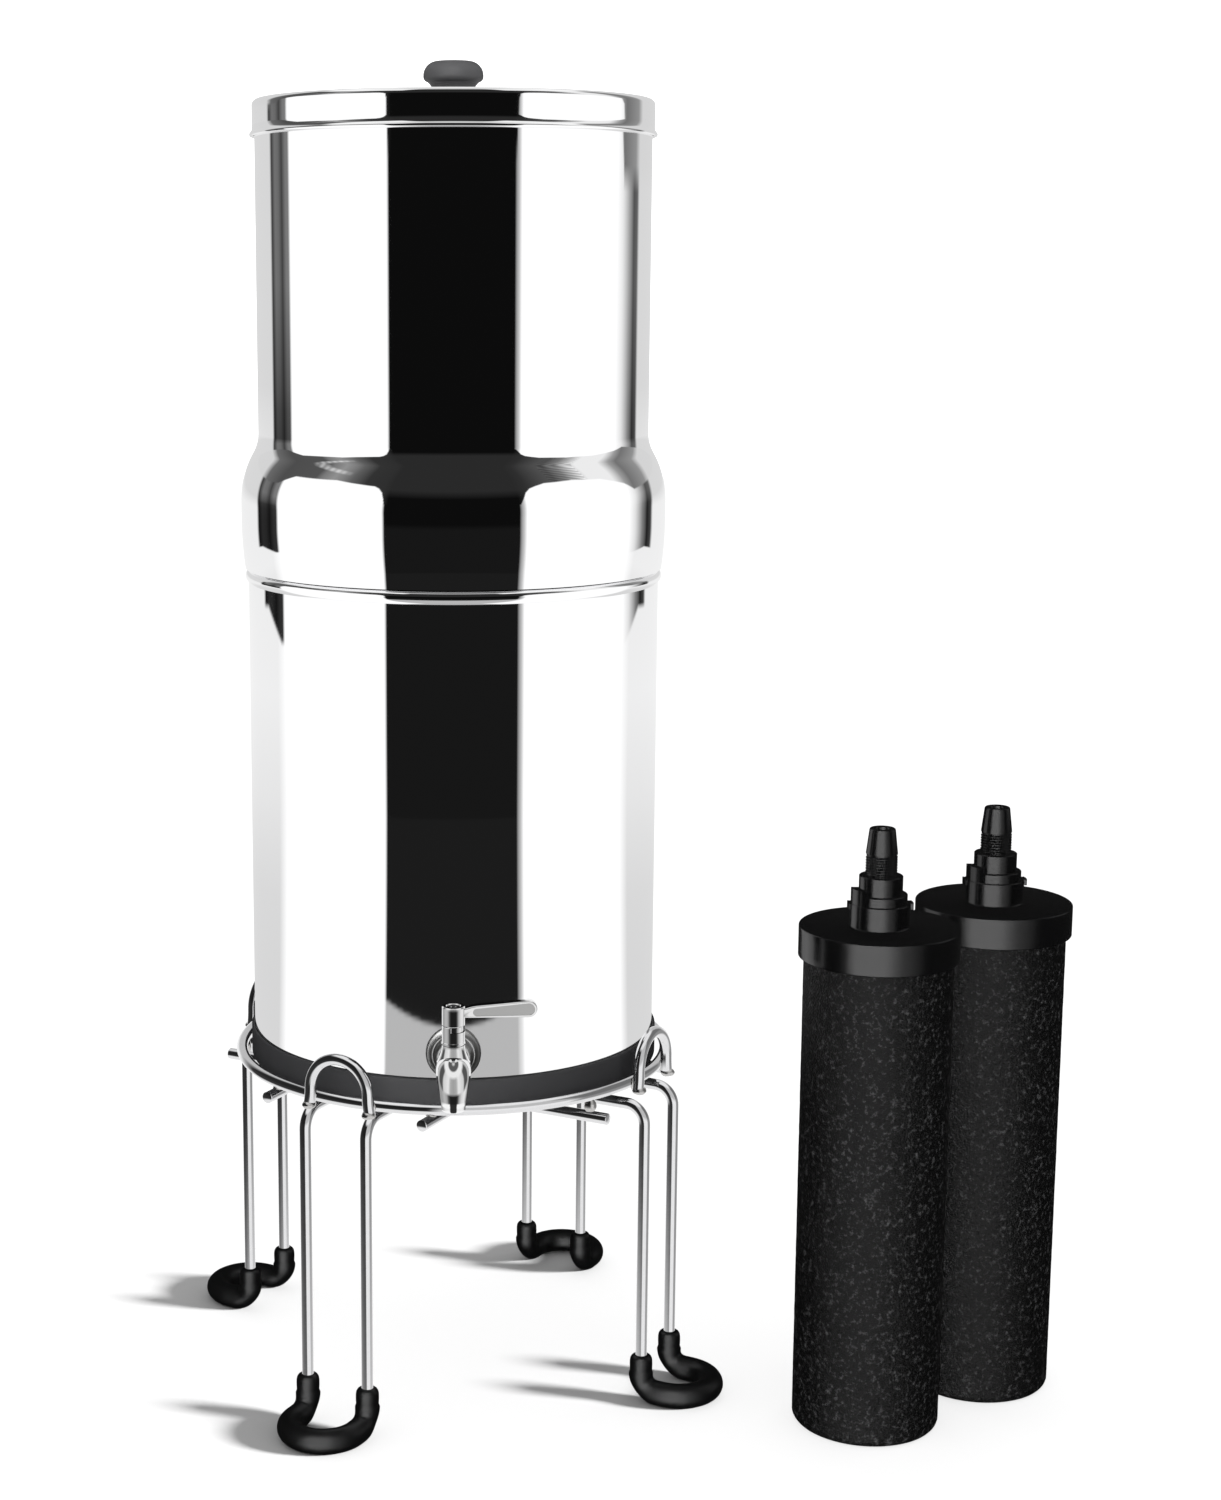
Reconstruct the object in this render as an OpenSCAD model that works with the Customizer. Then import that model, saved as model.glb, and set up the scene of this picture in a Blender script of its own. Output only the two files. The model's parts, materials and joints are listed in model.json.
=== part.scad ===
// Gravity water filter: two nested steel chambers on a wire stand, a quarter turn tap,
// and a pair of carbon filter elements standing beside it.
// Millimetres, +Z up, the tap faces -Y, and the floor is z = 0.

/* [Stand] */
// Diameter of the stand's wire
wire_d = 6; // [4:0.5:7]
// Clearance between the base ring and the top ring
ring_clear = 2.45; // [1.8:0.05:6]
// Height of the wires that the chamber rests on
deck_h = 171.7; // [120:1:260]
// Angle of the front left leg from straight ahead
leg_angle = 29; // [20:1:40]
// Spacing of the two wires of a leg
leg_pair_w = 36; // [28:1:44]
// Radius of the bend at the top of a leg
top_bend_r = 10; // [8:0.5:14]
// Distance of the legs outside the locating arches
leg_over = 4; // [3:0.5:6]
// Radius of the bend at the floor
foot_bend_r = 9.5; // [8:0.5:11]
// Reach of a foot beyond its leg
foot_reach = 31; // [29:0.5:50]
// Height of a locating arch above the ring
arch_rise = 23; // [20:0.5:34]
// Radius by which the sides of an arch flare outwards
arch_flare_r = 44; // [42:1:90]
// Distance of a cross rod from the middle
rod_offset = 46; // [36:1:54]
// Reach of a cross rod past the middle of the top ring's wire
rod_over = 10.5; // [6:0.5:16]
// Reach of a cross rod that ends close to the ring
short_rod_over = 2.7; // [2:0.1:6]
// Outside diameter of a rubber boot
boot_d = 13; // [10:0.5:16]
// Outside diameter of a boot's cuffs
cuff_d = 12; // [9:0.5:14]
// Height of a boot's cuffs above the floor
cuff_h = 26; // [22:1:40]

/* [Lower chamber] */
// Outside radius of the lower chamber
lower_r = 108; // [90:0.5:130]
// Height of the lower chamber with its rolled rim
lower_h = 262.2; // [200:1:400]
// Thickness of the steel sheet
sheet_t = 0.8; // [0.6:0.1:1.2]
// Corner radius at the bottom of the lower chamber
lower_corner_r = 5; // [3:0.5:10]
// Radius of the rolled rim's bead
rim_bead_r = 3.75; // [2.5:0.25:4]
// Distance by which the rolled rim stands out past the wall
rim_out = 1.6; // [1:0.1:3]
// Height of the rubber base ring
base_ring_h = 16.4; // [11:0.1:16.6]
// Wall of the rubber base ring
base_ring_t = 1.7; // [1:0.1:2.2]
// Thickness of the base ring's floor
base_floor_t = 2; // [1:0.25:3]
// Width of the base ring's floor
base_floor_w = 14; // [8:1:30]

/* [Upper chamber] */
// Difference in radius between the lower and the upper chamber
upper_step = 6; // [4:0.5:8]
// Distance by which the bulge stands out past the rolled rim
bulge_out = 1.7; // [1:0.1:4]
// Height of the upper chamber above its seat
upper_h = 237.7; // [180:1:300]
// Depth to which the upper chamber nests in the lower one
nest_depth = 57; // [16:0.5:70]
// Corner radius at the bottom of the upper chamber
upper_corner_r = 8; // [4:0.5:10]
// Height of the bulge's lower curve
bulge_rise = 25.8; // [18:0.2:32]
// Height of the straight band on the bulge
bulge_band_h = 9.5; // [4:0.5:20]
// Radius of the bulge's shoulder
shoulder_r = 49; // [40:1:56]
// Steepest slope of the shoulder
shoulder_slope = 30; // [28:1:34]
// Radius of the bead rolled inwards at the top
top_bead_r = 1.5; // [1.25:0.25:3]
// Radius of the circle of filter holes
hole_circle_r = 58; // [56:0.5:60]
// Radius of a filter hole
hole_r = 8.4; // [8.2:0.1:8.8]
// Radius of a blanking plug's head
plug_head_r = 13; // [11:0.5:16]
// Thickness of a blanking plug's head
plug_head_t = 4; // [3:0.5:6]
// Radius of a blanking plug's shank
plug_shank_r = 7.7; // [7:0.1:7.9]
// Length of a blanking plug's shank below its washer
plug_shank_l = 15; // [13:0.5:24]
// Thickness of a plug's rubber washer
plug_washer_t = 2; // [1:0.25:3]
// Height of a wing nut
wing_nut_h = 8; // [6:0.5:10]
// Span of a wing nut over its wings
wing_span = 36; // [28:1:44]

/* [Lid] */
// Height of the lid's skirt down to its bead
lid_skirt_h = 17.5; // [12:0.5:24]
// Corner radius at the top of the lid
lid_corner_r = 3; // [2:0.5:6]
// Radius of the bead at the skirt's edge
lid_bead_r = 1.1; // [1:0.05:1.7]
// Greatest radius of the knob
knob_r = 15.4; // [14.6:0.2:20]
// Height of the knob above the lid
knob_h = 19.4; // [17:0.2:26]
// Radius of the knob's neck
knob_neck_r = 10.8; // [8:0.2:11.6]
// Height of the knob's head
knob_head_h = 10.4; // [9:0.2:12]
// Radius of the knob's screw
knob_screw_r = 2; // [1.5:0.25:2.5]
// Length of the knob's screw inside the knob
knob_screw_l = 11; // [8:0.5:13]

/* [Tap] */
// Height of the tap's hole above the bottom of the chamber
tap_z = 28.8; // [28.6:0.2:50]
// Radius of the tap's threaded shank
shank_r = 7.9; // [7:0.1:8]
// Length of the shank inside the chamber
shank_l = 20; // [18:0.5:30]
// Radius of the hole for the tap
tap_hole_r = 8.2; // [8.1:0.1:8.6]
// Radius of the tap's flange
flange_r = 14; // [12:0.5:15]
// Thickness of the flange at its edge
flange_t = 2; // [1.5:0.25:3]
// Height of the flange's cone
flange_cone_t = 3; // [2:0.25:4]
// Distance from the chamber's wall to the barrel's axis
barrel_reach = 28; // [25:0.5:34]
// Radius of the barrel and of the lever's cap
barrel_r = 5.7; // [5.6:0.1:6.6]
// Height of the barrel above the tap's centre line
barrel_h = 22; // [19:0.5:26]
// Radius of the widest part of the body
body_r = 8.7; // [8.4:0.1:10]
// Radius of the body's neck
neck_r = 7.4; // [6.8:0.1:8]
// Radius of the spout
spout_r = 7.2; // [6.8:0.1:7.6]
// Radius of the spout's end
spout_end_r = 5.9; // [5.5:0.05:6.5]
// Radius of the spout's bend, to its centre line
spout_bend_r = 12; // [10:0.5:18]
// Length of the spout below its bend
spout_drop = 5.5; // [5:0.5:16]
// Length of the straight end of the spout
spout_end_l = 3; // [2.5:0.5:4]
// Radius of the waterway
waterway_r = 3; // [2:0.25:3.5]
// Radius of the bore for the valve's core
core_bore_r = 3.8; // [3.5:0.1:3.9]
// Depth of the core below the tap's centre line
core_depth = 6.5; // [5:0.25:7]
// Height of the lever's cap
cap_h = 9.8; // [9:0.2:14]
// Reach of the lever from the barrel's axis
lever_reach = 41.2; // [30:0.2:60]
// Height of the lever where it leaves the cap
lever_root_h = 5; // [4:0.2:6]
// Radius of the lever's round end
lever_end_r = 4.2; // [3.5:0.1:5]
// Thickness of the lever
lever_t = 5; // [3:0.25:6]
// Rise of the lever's middle from the cap to the end
lever_rise = 2; // [0:0.2:4]
// Depth of the lever's middle below the top of the cap
lever_drop = 3.2; // [3.1:0.1:5]
// Depth of the recess in the lever's face
lever_recess = 0.4; // [0.2:0.1:0.8]
// Angle through which the lever turns
lever_turn = 90; // [70:5:120]

/* [Filter elements] */
// Radius of the carbon block
carbon_r = 37.8; // [30:0.1:39]
// Height of an element without its stem
element_h = 265; // [180:1:267]
// Radius of the end cap
end_cap_r = 40.5; // [40:0.1:41]
// Height of the end cap
end_cap_h = 16; // [12:0.5:20]
// Thickness of the end cap's top
end_cap_t = 4; // [3:0.5:6]
// Radius of the bore in the carbon block
carbon_bore_r = 10; // [6:0.5:12]
// Thickness of the carbon block's closed end
carbon_end_t = 20; // [12:1:30]
// Radius of the edge at the foot of the carbon block
carbon_edge_r = 4; // [2:0.5:6]
// Radius of the stem's neck
stem_neck_r = 15.2; // [14.8:0.1:16]
// Height of the stem's neck
stem_neck_h = 12.2; // [10:0.1:15]
// Distance from the stem's middle to the tip of an ear on the neck
ear_r = 16.6; // [16.2:0.1:19]
// Height of an ear
ear_h = 2.9; // [2:0.1:4]
// Width of an ear
ear_w = 8; // [4:0.5:12]
// Radius of the stem's shoulder
stem_shoulder_r = 13.5; // [12.5:0.1:14.5]
// Height of the shoulder above the neck
stem_shoulder_h = 4.7; // [3:0.1:6]
// Radius of the stem's collar
stem_collar_r = 11; // [9:0.1:12]
// Height of the stem's collar
stem_collar_h = 9.3; // [6:0.1:12]
// Outside radius of the stem's thread, which is plain here
thread_r = 8; // [7.6:0.05:8.1]
// Length of the thread
thread_l = 11.2; // [8:0.1:14]
// Radius of the tip at its end
tip_end_r = 6.4; // [5.6:0.1:7]
// Length of the tip
tip_l = 13; // [8:0.1:16]
// Radius of the stem's bore
stem_bore_r = 3.5; // [2.5:0.1:4.5]
// Distance of the near element to the right of the unit's middle
near_right = 215; // [205:1:260]
// Distance of the near element in front of the unit's middle
near_front = 96; // [80:1:115]
// Gap between the two elements
pair_gap = 4.4; // [1.4:0.1:60]
// Direction from the near element to the far one
pair_angle = 37; // [0:1:60]

/* [Fits] */
// Overlap of two wires at a weld
weld_sink = 0.3; // [0.1:0.05:0.4]
// Gap where one piece rests on another piece that lifts off
seat_gap = 0.3; // [0.2:0.05:0.4]
// Gap round the nested foot of the upper chamber
nest_gap = 0.5; // [0.3:0.1:1]
// Gap between the lid's skirt and the upper chamber
lid_gap = 0.4; // [0.3:0.1:1.5]
// Gap round a shaft that turns in its bore
run_gap = 0.05; // [0.02:0.01:0.08]
// Gap between pieces that are pushed or screwed together
snug_gap = 0.05; // [0.02:0.01:0.1]
// Depth of the flat under a rubber boot
boot_flat = 0.5; // [0.2:0.1:1]
// Overrun of a cut past the face it cuts
cut = 1; // [0.5:0.5:2]

/* [Hidden] */
$fn = 96;
// Facets of the chamber's wall where a thin washer follows it
wall_fn = 480;

// Directions of the four legs round the unit
quarter_turn = 90;
front_left = -leg_angle;
front_right = front_left + quarter_turn;
back_right = front_left + 2 * quarter_turn;
back_left = front_left + 3 * quarter_turn;

// Heights of the two layers of wires, of the ring and of the wire in a foot
upper_layer_z = deck_h - wire_d / 2;
lower_layer_z = upper_layer_z - wire_d + weld_sink;
ring_z = upper_layer_z + wire_d - weld_sink;
foot_z = boot_d / 2 - boot_flat;

// The top ring, and the cross rods that end just outside it
ring_r = lower_r + snug_gap + base_ring_t + ring_clear + wire_d / 2;
rod_chord = sqrt(ring_r * ring_r - rod_offset * rod_offset);

// Arches touch the outside of the ring, legs stand outside them, and each foot ends in a half circle
leg_s = leg_pair_w / 2;

// An arch ends where its inner edge meets the bends of the upper layer's legs
arch_end_x = leg_over + wire_d / 2 - top_bend_r;
bend_outer_r = top_bend_r + wire_d / 2;
bend_rise = sqrt(bend_outer_r * bend_outer_r - arch_end_x * arch_end_x);
arch_end_z = upper_layer_z - top_bend_r + bend_rise - weld_sink;
arch_h = ring_z + arch_rise - arch_end_z;
arch_over = arch_h - leg_s;
arch_spare = arch_flare_r - arch_over;
arch_r = leg_s - (arch_spare - sqrt(arch_spare * arch_spare - 2 * arch_over * arch_over)) / 2;
arch_flare = asin((arch_h - arch_r) / arch_flare_r);
ring_flare = asin((arch_rise - arch_r) / arch_flare_r);
arch_at_ring = arch_r + arch_flare_r * (1 - cos(ring_flare));
arch_plane = sqrt(pow(ring_r + wire_d - weld_sink, 2) - arch_at_ring * arch_at_ring);
leg_plane = arch_plane + leg_over;
foot_middle = leg_plane + foot_reach - leg_s;
deck_half_l = leg_plane - top_bend_r;

// Lower chamber
shell_z = deck_h + seat_gap + base_floor_t;
tap_axis_z = shell_z + tap_z;
inner_r = lower_r - sheet_t;
rim_r = lower_r + rim_out;

// Upper chamber
upper_r = lower_r - upper_step;
bulge_r = rim_r + bulge_out;
seat_z = shell_z + lower_h + seat_gap;
nest_r = rim_r - 2 * rim_bead_r - nest_gap;
upper_floor_z = seat_z - nest_depth;
bulge_curve_r = (bulge_rise * bulge_rise + bulge_out * bulge_out) / (2 * bulge_out);
cove_r = (bulge_r - upper_r) / (1 - cos(shoulder_slope)) - shoulder_r;
cove_h = bulge_rise + bulge_band_h + (shoulder_r + cove_r) * sin(shoulder_slope);
open_holes = [0, 180];
plugged_holes = [90, 270];
wing_t = 4;

// Lid
lid_z = seat_z + upper_h + seat_gap;
lid_r = upper_r + lid_gap + sheet_t;

// Tap: distances ahead of the unit's middle, and heights
outer_washer_t = 2;
inner_washer_t = 2.5;
washer_r = 12;
lock_nut_r = 12.7;
lock_nut_t = 6;
flange_y = lower_r + outer_washer_t;
barrel_y = lower_r + barrel_reach;
spout_y = barrel_y + spout_bend_r;
core_r = core_bore_r - run_gap;
core_neck_r = 3;
core_neck_h = 5;
screw_r = 1.5;
screw_head_r = 3.4;
screw_head_t = 2;
screw_l = 12;
screw_well = 2.6;
o_ring_wire_r = 0.75;
o_ring_heights = [9, 15];
stop_w = 1.6;
stop_h = 2.4;
stop_wall = 1;
// Angles: half of what the stop takes up on the barrel, and its play at each end of the slot
stop_half = asin(stop_w / 2 / (core_bore_r + stop_wall));
stop_play = 4;
// Width of the lever's recess at the cap, as a share of its width at the lever's end
recess_share = 0.55;

// Carbon elements
pair_pitch = 2 * end_cap_r + pair_gap;
near_place = [near_right, -near_front];
far_place = near_place + pair_pitch * [cos(pair_angle), sin(pair_angle)];
neck_top_z = element_h + stem_neck_h;
shoulder_top_z = neck_top_z + stem_shoulder_h;
thread_z = shoulder_top_z + stem_collar_h;
tip_z = thread_z + thread_l;
lug_h = 3;
lug_w = 8;

// Profile of the stem from inside the end cap to its tip
stem_path = [
    [0, element_h - end_cap_t], [stem_neck_r, element_h - end_cap_t], [stem_neck_r, neck_top_z],
    [stem_shoulder_r, neck_top_z], [stem_shoulder_r, shoulder_top_z],
    [stem_collar_r, shoulder_top_z], [stem_collar_r, thread_z],
    [thread_r, thread_z], [thread_r, tip_z], [tip_end_r, tip_z + tip_l], [0, tip_z + tip_l]];

// The origin is the middle of the whole set on the floor
unit_half = foot_middle * cos(leg_angle) + leg_s + boot_d / 2;
set_right = far_place[0] + end_cap_r;
set_front = max(unit_half, spout_y + spout_r);
unit_x = -(set_right - unit_half) / 2;
unit_y = (set_front - unit_half) / 2;

function arc(middle, r, from, to, steps) = [
    for (i = [0 : steps])
        let (a = from + (to - from) * i / steps)
        middle + r * [cos(a), sin(a)]];

function backwards(points) = [for (i = [len(points) - 1 : -1 : 0]) points[i]];

module at_unit() {
    translate([unit_x, unit_y, 0]) children();
}

// Turns a piece drawn straight ahead to the direction of a leg
module at_leg(angle) {
    at_unit() rotate([0, 0, angle]) children();
}

// Repeats a piece at both wires of a leg
module at_pair(half_w) {
    for (x = [-half_w, half_w]) translate([x, 0, 0]) children();
}

// Part of a ring, from +X towards +Y
module bend(r, d, angle) {
    rotate_extrude(angle = angle) translate([r, 0]) circle(d = d);
}

// The half loop at the floor and its two bends, in a wire or tube of diameter d
module foot_loop(d) {
    run = foot_reach - leg_s - foot_bend_r;
    at_pair(leg_s) translate([0, -leg_plane - foot_bend_r, foot_z]) {
        translate([0, 0, foot_bend_r]) rotate([-90, 0, 90]) bend(foot_bend_r, d, 90);
        rotate([90, 0, 0]) cylinder(d = d, h = run);
    }
    translate([0, -foot_middle, foot_z]) rotate([0, 0, 180]) bend(leg_s, d, 180);
}

module leg(angle, layer_z) {
    from_z = foot_z + foot_bend_r;
    to_z = layer_z - top_bend_r;
    color("silver") at_leg(angle) {
        foot_loop(wire_d);
        at_pair(leg_s) {
            translate([0, -leg_plane, from_z]) cylinder(d = wire_d, h = to_z - from_z);
            translate([0, top_bend_r - leg_plane, to_z]) rotate([90, 0, -90]) bend(top_bend_r, wire_d, 90);
        }
    }
}

// A rubber boot covers the loop at the floor, and a cuff covers the foot of each wire
module boot(angle) {
    from_z = foot_z + foot_bend_r;
    bore_d = wire_d + 2 * snug_gap;
    color("#18181a") at_leg(angle) difference() {
        union() {
            foot_loop(boot_d);
            at_pair(leg_s) translate([0, -leg_plane, from_z]) cylinder(d = cuff_d, h = cuff_h - from_z);
        }
        foot_loop(bore_d);
        at_pair(leg_s) translate([0, -leg_plane, from_z]) cylinder(d = bore_d, h = cuff_h);
        translate([-leg_pair_w, -leg_plane - 2 * foot_reach, -boot_d])
            cube([2 * leg_pair_w, 3 * foot_reach, boot_d]);
    }
}

// A locating arch stands over its leg and is welded to the outside of the ring
module arch(angle) {
    crown_z = ring_z + arch_rise - arch_r;
    color("silver") at_leg(angle) translate([0, -arch_plane, crown_z]) rotate([90, 0, 0]) {
        bend(arch_r, wire_d, 180);
        for (turn = [0, 180]) rotate([0, turn, 0]) translate([arch_r + arch_flare_r, 0, 0])
            rotate([0, 0, 180]) bend(arch_flare_r, wire_d, arch_flare);
    }
}

// One straight wire under the chamber
module deck_wire(offset, layer_z, half_l) {
    translate([offset, half_l, layer_z]) rotate([90, 0, 0]) cylinder(d = wire_d, h = 2 * half_l);
}

// The two wires that join opposite legs
module deck_wires(angle, layer_z) {
    color("silver") at_leg(angle) for (x = [-leg_s, leg_s]) deck_wire(x, layer_z, deck_half_l);
}

// Two rods beside the deck wires, the second one with its own reach past the ring
module cross_rods(angle, layer_z, second_over) {
    color("silver") at_leg(angle) {
        deck_wire(-rod_offset, layer_z, rod_chord + rod_over);
        deck_wire(rod_offset, layer_z, rod_chord + second_over);
    }
}

module stand_ring() {
    color("silver") at_unit() translate([0, 0, ring_z])
        rotate_extrude() translate([ring_r, 0]) circle(d = wire_d);
}

module lower_chamber() {
    corner = [lower_r - lower_corner_r, lower_corner_r];
    bead_z = lower_h - rim_bead_r;
    color("gainsboro") at_unit() translate([0, 0, shell_z]) difference() {
        union() {
            rotate_extrude() polygon(concat(
                [[0, sheet_t], [0, 0]],
                arc(corner, lower_corner_r, -90, 0, 6),
                [[lower_r, bead_z], [inner_r, bead_z]],
                arc(corner, lower_corner_r - sheet_t, 0, -90, 6)));
            translate([0, 0, bead_z]) rotate_extrude()
                translate([rim_r - rim_bead_r, 0]) circle(r = rim_bead_r);
        }
        translate([0, 0, tap_z]) rotate([90, 0, 0]) cylinder(r = tap_hole_r, h = 2 * lower_r);
    }
}

module base_ring() {
    inner = lower_r + snug_gap;
    outer = inner + base_ring_t;
    floor_r = lower_r - base_floor_w;
    edge = base_ring_t / 2;
    color("#3c3c40") at_unit() translate([0, 0, deck_h + seat_gap]) rotate_extrude() polygon([
        [floor_r, 0], [outer - edge, 0], [outer, edge], [outer, base_ring_h - edge],
        [outer - edge, base_ring_h], [inner, base_ring_h], [inner, base_floor_t], [floor_r, base_floor_t]]);
}

// Places a piece where the tap's centre line meets the barrel's axis
module at_tap() {
    at_unit() translate([0, -barrel_y, tap_axis_z]) children();
}

// Places a piece on the tap's centre line, drawn upwards and laid towards the chamber's middle
module along_tap(ahead) {
    at_unit() translate([0, -ahead, tap_axis_z]) rotate([-90, 0, 0]) children();
}

// The spout from the barrel's axis to its outlet, as a solid or as its waterway
module spout(bend_r, end_r, overrun) {
    taper = spout_drop - spout_end_l;
    translate([0, 0, -spout_bend_r]) rotate([90, 0, -90]) bend(spout_bend_r, 2 * bend_r, 90);
    translate([0, -spout_bend_r, -spout_bend_r - spout_drop]) {
        translate([0, 0, spout_end_l]) cylinder(r1 = end_r, r2 = bend_r, h = taper);
        translate([0, 0, -overrun]) cylinder(r = end_r, h = spout_end_l + overrun);
    }
}

module tap_body() {
    to_flange = barrel_y - flange_y;
    to_end = barrel_y - inner_r + shank_l;
    slot_h = stop_h + seat_gap;
    slot_from = -lever_turn - stop_half - stop_play;
    slot_turn = lever_turn + 2 * (stop_half + stop_play);
    color("lightgray") at_tap() difference() {
        union() {
            sphere(r = body_r);
            cylinder(r = barrel_r, h = barrel_h);
            spout(spout_r, spout_end_r, 0);
            rotate([-90, 0, 0]) {
                cylinder(r = shank_r, h = to_end);
                cylinder(r = neck_r, h = to_flange - flange_t);
                translate([0, 0, to_flange - flange_t]) cylinder(r = flange_r, h = flange_t);
                translate([0, 0, to_flange - flange_t - flange_cone_t])
                    cylinder(r1 = neck_r, r2 = flange_r, h = flange_cone_t);
            }
        }
        translate([0, 0, -core_depth - seat_gap]) cylinder(r = core_bore_r, h = core_depth + barrel_h + cut);
        rotate([-90, 0, 0]) cylinder(r = waterway_r, h = to_end + cut);
        spout(waterway_r, waterway_r, cut);
        translate([0, 0, barrel_h - slot_h]) rotate([0, 0, slot_from])
            rotate_extrude(angle = slot_turn) translate([core_bore_r + stop_wall, 0])
                square([barrel_r, slot_h + cut]);
    }
}

// Rubber washer outside the chamber, moulded to its wall
module tap_outer_washer() {
    color("#2a2a2c") difference() {
        along_tap(flange_y) cylinder(r = washer_r, h = 2 * outer_washer_t);
        at_unit() translate([0, 0, tap_axis_z - flange_r])
            cylinder(r = lower_r, h = 2 * flange_r, $fn = wall_fn);
        along_tap(flange_y + cut) cylinder(r = shank_r + snug_gap, h = 2 * outer_washer_t + 2 * cut);
    }
}

module tap_inner_washer() {
    color("#2a2a2c") difference() {
        intersection() {
            along_tap(inner_r) cylinder(r = washer_r, h = inner_washer_t);
            at_unit() translate([0, 0, tap_axis_z - flange_r])
                cylinder(r = inner_r, h = 2 * flange_r, $fn = wall_fn);
        }
        along_tap(inner_r + cut) cylinder(r = shank_r + snug_gap, h = inner_washer_t + 2 * cut);
    }
}

module tap_lock_nut() {
    color("lightgray") along_tap(inner_r - inner_washer_t) difference() {
        cylinder(r = lock_nut_r, h = lock_nut_t, $fn = 6);
        translate([0, 0, -cut]) cylinder(r = shank_r + snug_gap, h = lock_nut_t + 2 * cut);
    }
}

// Side view of the lever's arm, or of the recess in it: narrow at the cap and round at the end
module arm_outline(from, from_half_h, r) {
    end_x = lever_reach - lever_end_r;
    root_z = cap_h - lever_drop;
    end_z = root_z + lever_rise;
    polygon([[from, root_z - from_half_h], [end_x, end_z - r],
             [end_x, end_z + r], [from, root_z + from_half_h]]);
    translate([end_x, end_z]) circle(r = r);
}

// The cap and the arm are one casting, with a stop that runs in the barrel's slot
module tap_lever() {
    stop_from = core_bore_r + stop_wall + run_gap;
    recess_r = lever_end_r - 2 * lever_recess;
    color("lightgray") at_tap() translate([0, 0, barrel_h + seat_gap]) difference() {
        union() {
            cylinder(r = barrel_r, h = cap_h);
            translate([0, lever_t / 2, 0]) rotate([90, 0, 0])
                linear_extrude(lever_t) arm_outline(0, lever_root_h / 2, lever_end_r);
            translate([stop_from, -stop_w / 2, -stop_h])
                cube([barrel_r - run_gap - stop_from, stop_w, stop_h + cut]);
        }
        translate([0, 0, -cut]) cylinder(r = core_neck_r + snug_gap, h = core_neck_h + snug_gap + cut);
        cylinder(r = screw_r + snug_gap, h = cap_h);
        translate([0, 0, cap_h - screw_well]) cylinder(r = screw_head_r + snug_gap, h = screw_well + cut);
        translate([0, lever_recess - lever_t / 2, 0]) rotate([90, 0, 0])
            linear_extrude(lever_recess + cut)
                arm_outline(barrel_r + lever_end_r, recess_r * recess_share, recess_r);
    }
}

// The core's cross bore lies across the tap while the lever points sideways, which shuts it
module valve_core() {
    groove_h = 2 * (o_ring_wire_r + snug_gap);
    screw_z = barrel_h + seat_gap + cap_h - screw_well - screw_l;
    color("gray") at_tap() difference() {
        union() {
            translate([0, 0, -core_depth]) cylinder(r = core_r, h = core_depth + barrel_h);
            cylinder(r = core_neck_r, h = barrel_h + seat_gap + core_neck_h);
        }
        translate([-core_bore_r, 0, 0]) rotate([0, 90, 0]) cylinder(r = waterway_r, h = 2 * core_bore_r);
        translate([0, 0, screw_z - snug_gap]) cylinder(r = screw_r + snug_gap, h = screw_l);
        for (z = o_ring_heights) translate([0, 0, z - groove_h / 2]) difference() {
            cylinder(r = core_bore_r, h = groove_h);
            translate([0, 0, -cut]) cylinder(r = core_r - groove_h, h = groove_h + 2 * cut);
        }
    }
}

module core_o_rings() {
    color("#1c1c1e") at_tap() for (z = o_ring_heights) translate([0, 0, z]) rotate_extrude()
        translate([core_r - o_ring_wire_r, 0]) circle(r = o_ring_wire_r);
}

module lever_screw() {
    color("gray") at_tap() translate([0, 0, barrel_h + seat_gap + cap_h - screw_well]) difference() {
        union() {
            cylinder(r = screw_head_r, h = screw_head_t);
            translate([0, 0, -screw_l]) cylinder(r = screw_r, h = screw_l);
        }
        translate([0, 0, screw_head_t / 2]) cylinder(r = screw_head_r / 2, h = screw_head_t, $fn = 6);
    }
}

// Path of the upper chamber's sheet from the middle of its floor to its rim, set in by d
function upper_path(d) = concat(
    [[0, d - nest_depth]],
    arc([nest_r - upper_corner_r, upper_corner_r - nest_depth], upper_corner_r - d, -90, 0, 6),
    [[nest_r - d, d]],
    arc([bulge_r - bulge_curve_r, bulge_rise], bulge_curve_r - d,
        -asin((bulge_rise - d) / (bulge_curve_r - d)), 0, 8),
    arc([bulge_r - shoulder_r, bulge_rise + bulge_band_h], shoulder_r - d, 0, shoulder_slope, 8),
    arc([upper_r + cove_r, cove_h], cove_r + d, 180 + shoulder_slope, 180, 6),
    [[upper_r - d, upper_h - top_bead_r]]);

module at_holes(angles) {
    at_unit() for (a = angles) rotate([0, 0, a]) translate([hole_circle_r, 0, upper_floor_z]) children();
}

module upper_chamber() {
    color("gainsboro") difference() {
        at_unit() translate([0, 0, seat_z]) {
            rotate_extrude() polygon(concat(upper_path(0), backwards(upper_path(sheet_t))));
            translate([0, 0, upper_h - top_bead_r]) rotate_extrude()
                translate([upper_r - top_bead_r, 0]) circle(r = top_bead_r);
        }
        at_holes(concat(open_holes, plugged_holes)) translate([0, 0, -cut])
            cylinder(r = hole_r, h = sheet_t + 2 * cut);
    }
}

module blanking_plugs() {
    color("#26262a") at_holes(plugged_holes) translate([0, 0, sheet_t + plug_washer_t]) {
        cylinder(r = plug_head_r, h = plug_head_t);
        translate([0, 0, -plug_shank_l]) cylinder(r = plug_shank_r, h = plug_shank_l);
    }
}

module plug_washers() {
    color("#1c1c1e") at_holes(plugged_holes) translate([0, 0, sheet_t]) difference() {
        cylinder(r = plug_head_r, h = plug_washer_t);
        translate([0, 0, -cut]) cylinder(r = plug_shank_r + snug_gap, h = plug_washer_t + 2 * cut);
    }
}

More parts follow.
